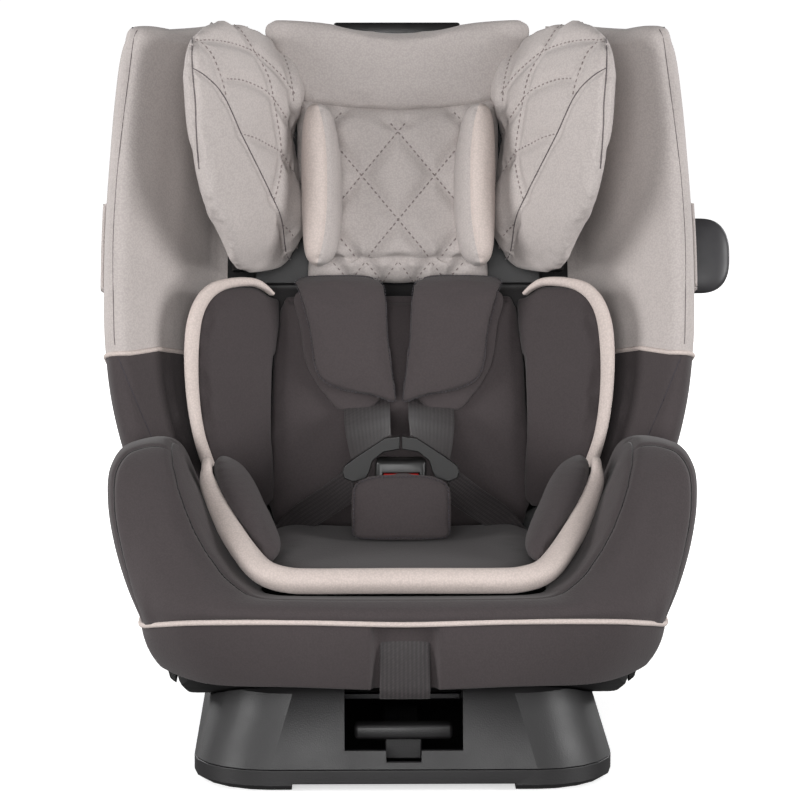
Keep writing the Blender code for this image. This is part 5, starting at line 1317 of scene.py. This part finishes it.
def make_fittings(parts):
    """Buckle, lever, hooks, side pods, red buttons and the steel parts."""
    small = ("headrest_lever", "buckle_body", "harness_tongue_left", "harness_tongue_right")
    recast(small, "fittings", parts.edge_radius * 0.7)
    recast(("belt_hook_left", "belt_hook_right"), "fittings", parts.edge_radius)
    make_pods()
    coat(("buckle_button", "adjuster_button"), "red")
    rods = ("headrest_rod_left", "headrest_rod_right")
    coat((*rods, "keel_bolt_front", "keel_bolt_rear", "harness_yoke"), "steel")


# =====================================================================================================
# Stage
# =====================================================================================================
def area_light(name, place, target, size, power):
    """A rectangular lamp at place that shines towards target."""
    data = bpy.data.lights.new(name, "AREA")
    data.shape = "RECTANGLE"
    data.size, data.size_y = size
    data.energy = power
    made = bpy.data.objects.new(name, data)
    bpy.context.scene.collection.objects.link(made)
    made.location = place
    away = np.array(target, float) - np.array(place, float)
    flat = math.hypot(away[0], away[1])
    made.rotation_euler = (math.atan2(flat, -away[2]), 0, math.atan2(away[1], away[0]) - math.pi / 2)
    return made


def make_stage(stage):
    """White floor and backdrop, which only the camera sees, soft lamps all round, and the camera. The
    floor's own glow grows with the distance from the seat, so that the seat keeps a faint shadow."""
    scene = bpy.context.scene
    scene.view_settings.view_transform = "Standard"
    grid = np.linspace(-40, 40, 9)
    x, y = np.meshgrid(grid, grid, indexing="ij")
    finish_floor, tree, shader = start_finish(
        "white studio floor", {"Roughness": 0.9, "Emission Color": (1, 1, 1, 1)}
    )
    place = add_node(tree, "ShaderNodeTexCoord").outputs["Object"]
    away = add_node(tree, "ShaderNodeVectorMath", {"operation": "LENGTH"}, {0: place})
    glow = add_node(
        tree,
        "ShaderNodeMapRange",
        {"From Min": 0.2, "From Max": 0.9, "To Min": 0.55, "To Max": 0.95,
         "interpolation_type": "SMOOTHSTEP"},
        {"Value": away.outputs["Value"]},
    )
    tree.links.new(shader.inputs["Emission Strength"], glow.outputs[0])
    cloud = add_node(tree, "ShaderNodeTexNoise", {"Scale": 0.8, "Detail": 2.0}, {"Vector": place})
    tint = mix_colours(tree, (0.90, 0.90, 0.90), (0.92, 0.92, 0.92), cloud.outputs["Fac"])
    tree.links.new(shader.inputs["Base Color"], tint)
    mesh = grid_mesh("floor", np.stack((x, y, np.full_like(x, -0.0005)), -1))
    if read(mesh, "normals")[:, 2].sum() < 0:
        mesh.flip_normals()
    floor = add_piece("floor", mesh, finish_floor)
    floor.visible_diffuse = False
    floor.visible_glossy = False

    turn = np.linspace(0, 2 * math.pi, 49)[:, None]
    rise = np.linspace(-0.5, 0.5, 25)[None] * math.pi
    flat = np.cos(rise)
    dome = 25 * np.stack((np.cos(turn) * flat, np.sin(turn) * flat, np.sin(rise) + 0 * turn), -1)
    white, _, _ = start_finish(
        "white studio backdrop",
        {"Base Color": (0, 0, 0, 1), "Emission Color": (1, 1, 1, 1), "Emission Strength": 1.0},
    )
    backdrop = add_piece("backdrop", grid_mesh("backdrop", dome), white)
    backdrop.visible_diffuse = False
    backdrop.visible_glossy = False
    backdrop.visible_shadow = False

    world = bpy.data.worlds.new("white studio")
    world.use_nodes = True
    world.node_tree.nodes["Background"].inputs[0].default_value = (1, 1, 1, 1)
    world.node_tree.nodes["Background"].inputs[1].default_value = stage.ambient
    scene.world = world
    middle = (0, 0, 0.3)
    area_light("front", (-0.4, -3.4, 0.8), middle, (2.0, 1.2), stage.key * 1.1)
    area_light("left", (-2.6, -1.3, 0.75), middle, (1.4, 1.5), stage.key * 0.95)
    area_light("right", (2.6, -1.3, 0.75), middle, (1.4, 1.5), stage.key * 0.98)
    area_light("left_rear", (-2.2, 2.2, 1.2), middle, (1.4, 1.6), stage.key * 0.7)
    area_light("right_rear", (2.2, 2.2, 1.2), middle, (1.4, 1.6), stage.key * 0.7)

    data = bpy.data.cameras.new("camera")
    data.lens = stage.lens
    data.sensor_width = 36.0
    data.clip_end = 200.0
    camera = bpy.data.objects.new("camera", data)
    camera.location = (-0.045, -3.0, 0.6965)
    camera.rotation_euler = (math.radians(82.0), 0, math.radians(-0.86))
    scene.collection.objects.link(camera)
    scene.camera = camera


# =====================================================================================================
# Panel
# =====================================================================================================
def colour_setting(name, code, description):
    """A colour property whose default is the sRGB hex code."""
    return FloatVectorProperty(
        name=name, description=description, default=linear(code), subtype="COLOR", size=3, min=0, max=1
    )


class SeatCoverSettings(bpy.types.PropertyGroup):
    light: colour_setting("Light knit", "#b4aca9", "Colour of the headrest and the upper back wings")
    dark: colour_setting("Dark knit", "#3e3738", "Colour of the seat, the insert and the lower back wings")
    cream: colour_setting("Cream knit", "#c6b9b3", "Colour of the rims, the piping and the bolster fronts")
    webbing: colour_setting("Webbing", "#2b2627", "Colour of the harness webbing")
    seam_depth: FloatProperty(
        name="Seam depth", description="How far a seam sinks into its pad", default=0.0030,
        unit="LENGTH", precision=4,
    )
    quilt_depth: FloatProperty(
        name="Quilting depth", description="How far a quilting stitch sinks into its pad", default=0.0034,
        unit="LENGTH", precision=4,
    )
    stitch_pitch: FloatProperty(
        name="Stitch pitch", description="Distance from one quilting stitch to the next", default=0.0048,
        unit="LENGTH", precision=4,
    )
    filling_cap: FloatProperty(
        name="Filling", description="How far the filling may push the cloth of a headrest wing out",
        default=0.0050,
        unit="LENGTH", precision=4,
    )


class SeatMouldingSettings(bpy.types.PropertyGroup):
    base: colour_setting("Base", "#1a191a", "Colour of the base and of the side pods")
    shell: colour_setting("Bucket", "#191819", "Colour of the bucket and its rear cover")
    fittings: colour_setting("Fittings", "#121111", "Colour of the lever, the buckle and the belt hooks")
    button: colour_setting("Buttons", "#b01d1a", "Colour of the harness buttons")
    edge_radius: FloatProperty(
        name="Edge radius", description="Rounding of the mouldings' edges", default=0.0012,
        unit="LENGTH", precision=4,
    )


class SeatStageSettings(bpy.types.PropertyGroup):
    lens: FloatProperty(
        name="Lens", description="Focal length of the camera", default=167.85, min=10, max=300, unit="CAMERA"
    )
    key: FloatProperty(name="Key light", description="Power of the main lamp", default=70.0, min=0, unit="POWER")
    ambient: FloatProperty(name="Ambient", description="Strength of the white surroundings", default=0.12, min=0)


class SEAT_OT_base(bpy.types.Operator):
    """Gives the base, its handle and its feet their finishes"""

    bl_idname = "seat.base"
    bl_label = "Base"

    def execute(self, context):
        make_base(context.scene.seat_mouldings)
        return {"FINISHED"}


class SEAT_OT_shell(bpy.types.Operator):
    """Gives the bucket, its rear cover and its housings their finishes"""

    bl_idname = "seat.shell"
    bl_label = "Bucket"

    def execute(self, context):
        make_shell(context.scene.seat_mouldings)
        return {"FINISHED"}


class SEAT_OT_fittings(bpy.types.Operator):
    """Gives the lever, pods, hooks, buckle and metal parts their finishes"""

    bl_idname = "seat.fittings"
    bl_label = "Fittings"

    def execute(self, context):
        make_fittings(context.scene.seat_mouldings)
        return {"FINISHED"}


class SEAT_OT_back_wings(bpy.types.Operator):
    """Makes the two-tone cover of the back's side wings and its piping"""

    bl_idname = "seat.back_wings"
    bl_label = "Back wings"

    def execute(self, context):
        make_back_wings(context.scene.seat_cover)
        return {"FINISHED"}


class SEAT_OT_headrest(bpy.types.Operator):
    """Makes the quilted headrest: its wings, middle, top and bolsters"""

    bl_idname = "seat.headrest"
    bl_label = "Headrest"

    def execute(self, context):
        make_head_wings(context.scene.seat_cover)
        make_head_middle(context.scene.seat_cover)
        return {"FINISHED"}


class SEAT_OT_seat(bpy.types.Operator):
    """Makes the seat cover with its side bolsters, the apron and its piping"""

    bl_idname = "seat.seat"
    bl_label = "Seat cover"

    def execute(self, context):
        make_seat_cover(context.scene.seat_cover)
        return {"FINISHED"}


class SEAT_OT_insert(bpy.types.Operator):
    """Makes the insert: seat panel, thigh pads, back panel, torso pads and cream rims"""

    bl_idname = "seat.insert"
    bl_label = "Insert"

    def execute(self, context):
        make_insert(context.scene.seat_cover)
        return {"FINISHED"}


class SEAT_OT_harness(bpy.types.Operator):
    """Makes the webbing and its pads"""

    bl_idname = "seat.harness"
    bl_label = "Harness"

    def execute(self, context):
        make_harness()
        return {"FINISHED"}


class SEAT_OT_stage(bpy.types.Operator):
    """Makes the floor, the lamps and the camera"""

    bl_idname = "seat.stage"
    bl_label = "Stage"

    def execute(self, context):
        make_stage(context.scene.seat_stage)
        return {"FINISHED"}


OPERATORS = (
    SEAT_OT_base, SEAT_OT_shell, SEAT_OT_fittings, SEAT_OT_back_wings, SEAT_OT_headrest,
    SEAT_OT_seat, SEAT_OT_insert, SEAT_OT_harness, SEAT_OT_stage,
)


class SEAT_PT_panel(bpy.types.Panel):
    """Sizes, colours and pieces of the car seat"""

    bl_idname = "SEAT_PT_panel"
    bl_label = "Car seat"
    bl_space_type = "VIEW_3D"
    bl_region_type = "UI"
    bl_category = "Car seat"

    def draw(self, context):
        for group in (context.scene.seat_cover, context.scene.seat_mouldings, context.scene.seat_stage):
            box = self.layout.box()
            for key in group.bl_rna.properties.keys():
                if key not in ("rna_type", "name"):
                    box.prop(group, key)
        for operator in OPERATORS:
            self.layout.operator(operator.bl_idname)


CLASSES = (SeatCoverSettings, SeatMouldingSettings, SeatStageSettings, *OPERATORS, SEAT_PT_panel)


def register():
    """Adds the settings, the operators and the panel."""
    for made in CLASSES:
        bpy.utils.register_class(made)
    bpy.types.Scene.seat_cover = PointerProperty(type=SeatCoverSettings)
    bpy.types.Scene.seat_mouldings = PointerProperty(type=SeatMouldingSettings)
    bpy.types.Scene.seat_stage = PointerProperty(type=SeatStageSettings)


def unregister():
    """Takes away what register added."""
    del bpy.types.Scene.seat_stage
    del bpy.types.Scene.seat_mouldings
    del bpy.types.Scene.seat_cover
    for made in reversed(CLASSES):
        bpy.utils.unregister_class(made)


def main():
    """Makes every piece and the stage."""
    register()
    bpy.ops.seat.base()
    bpy.ops.seat.shell()
    bpy.ops.seat.fittings()
    bpy.ops.seat.back_wings()
    bpy.ops.seat.headrest()
    bpy.ops.seat.seat()
    bpy.ops.seat.insert()
    bpy.ops.seat.harness()
    bpy.ops.seat.stage()


if __name__ == "__main__":
    main()
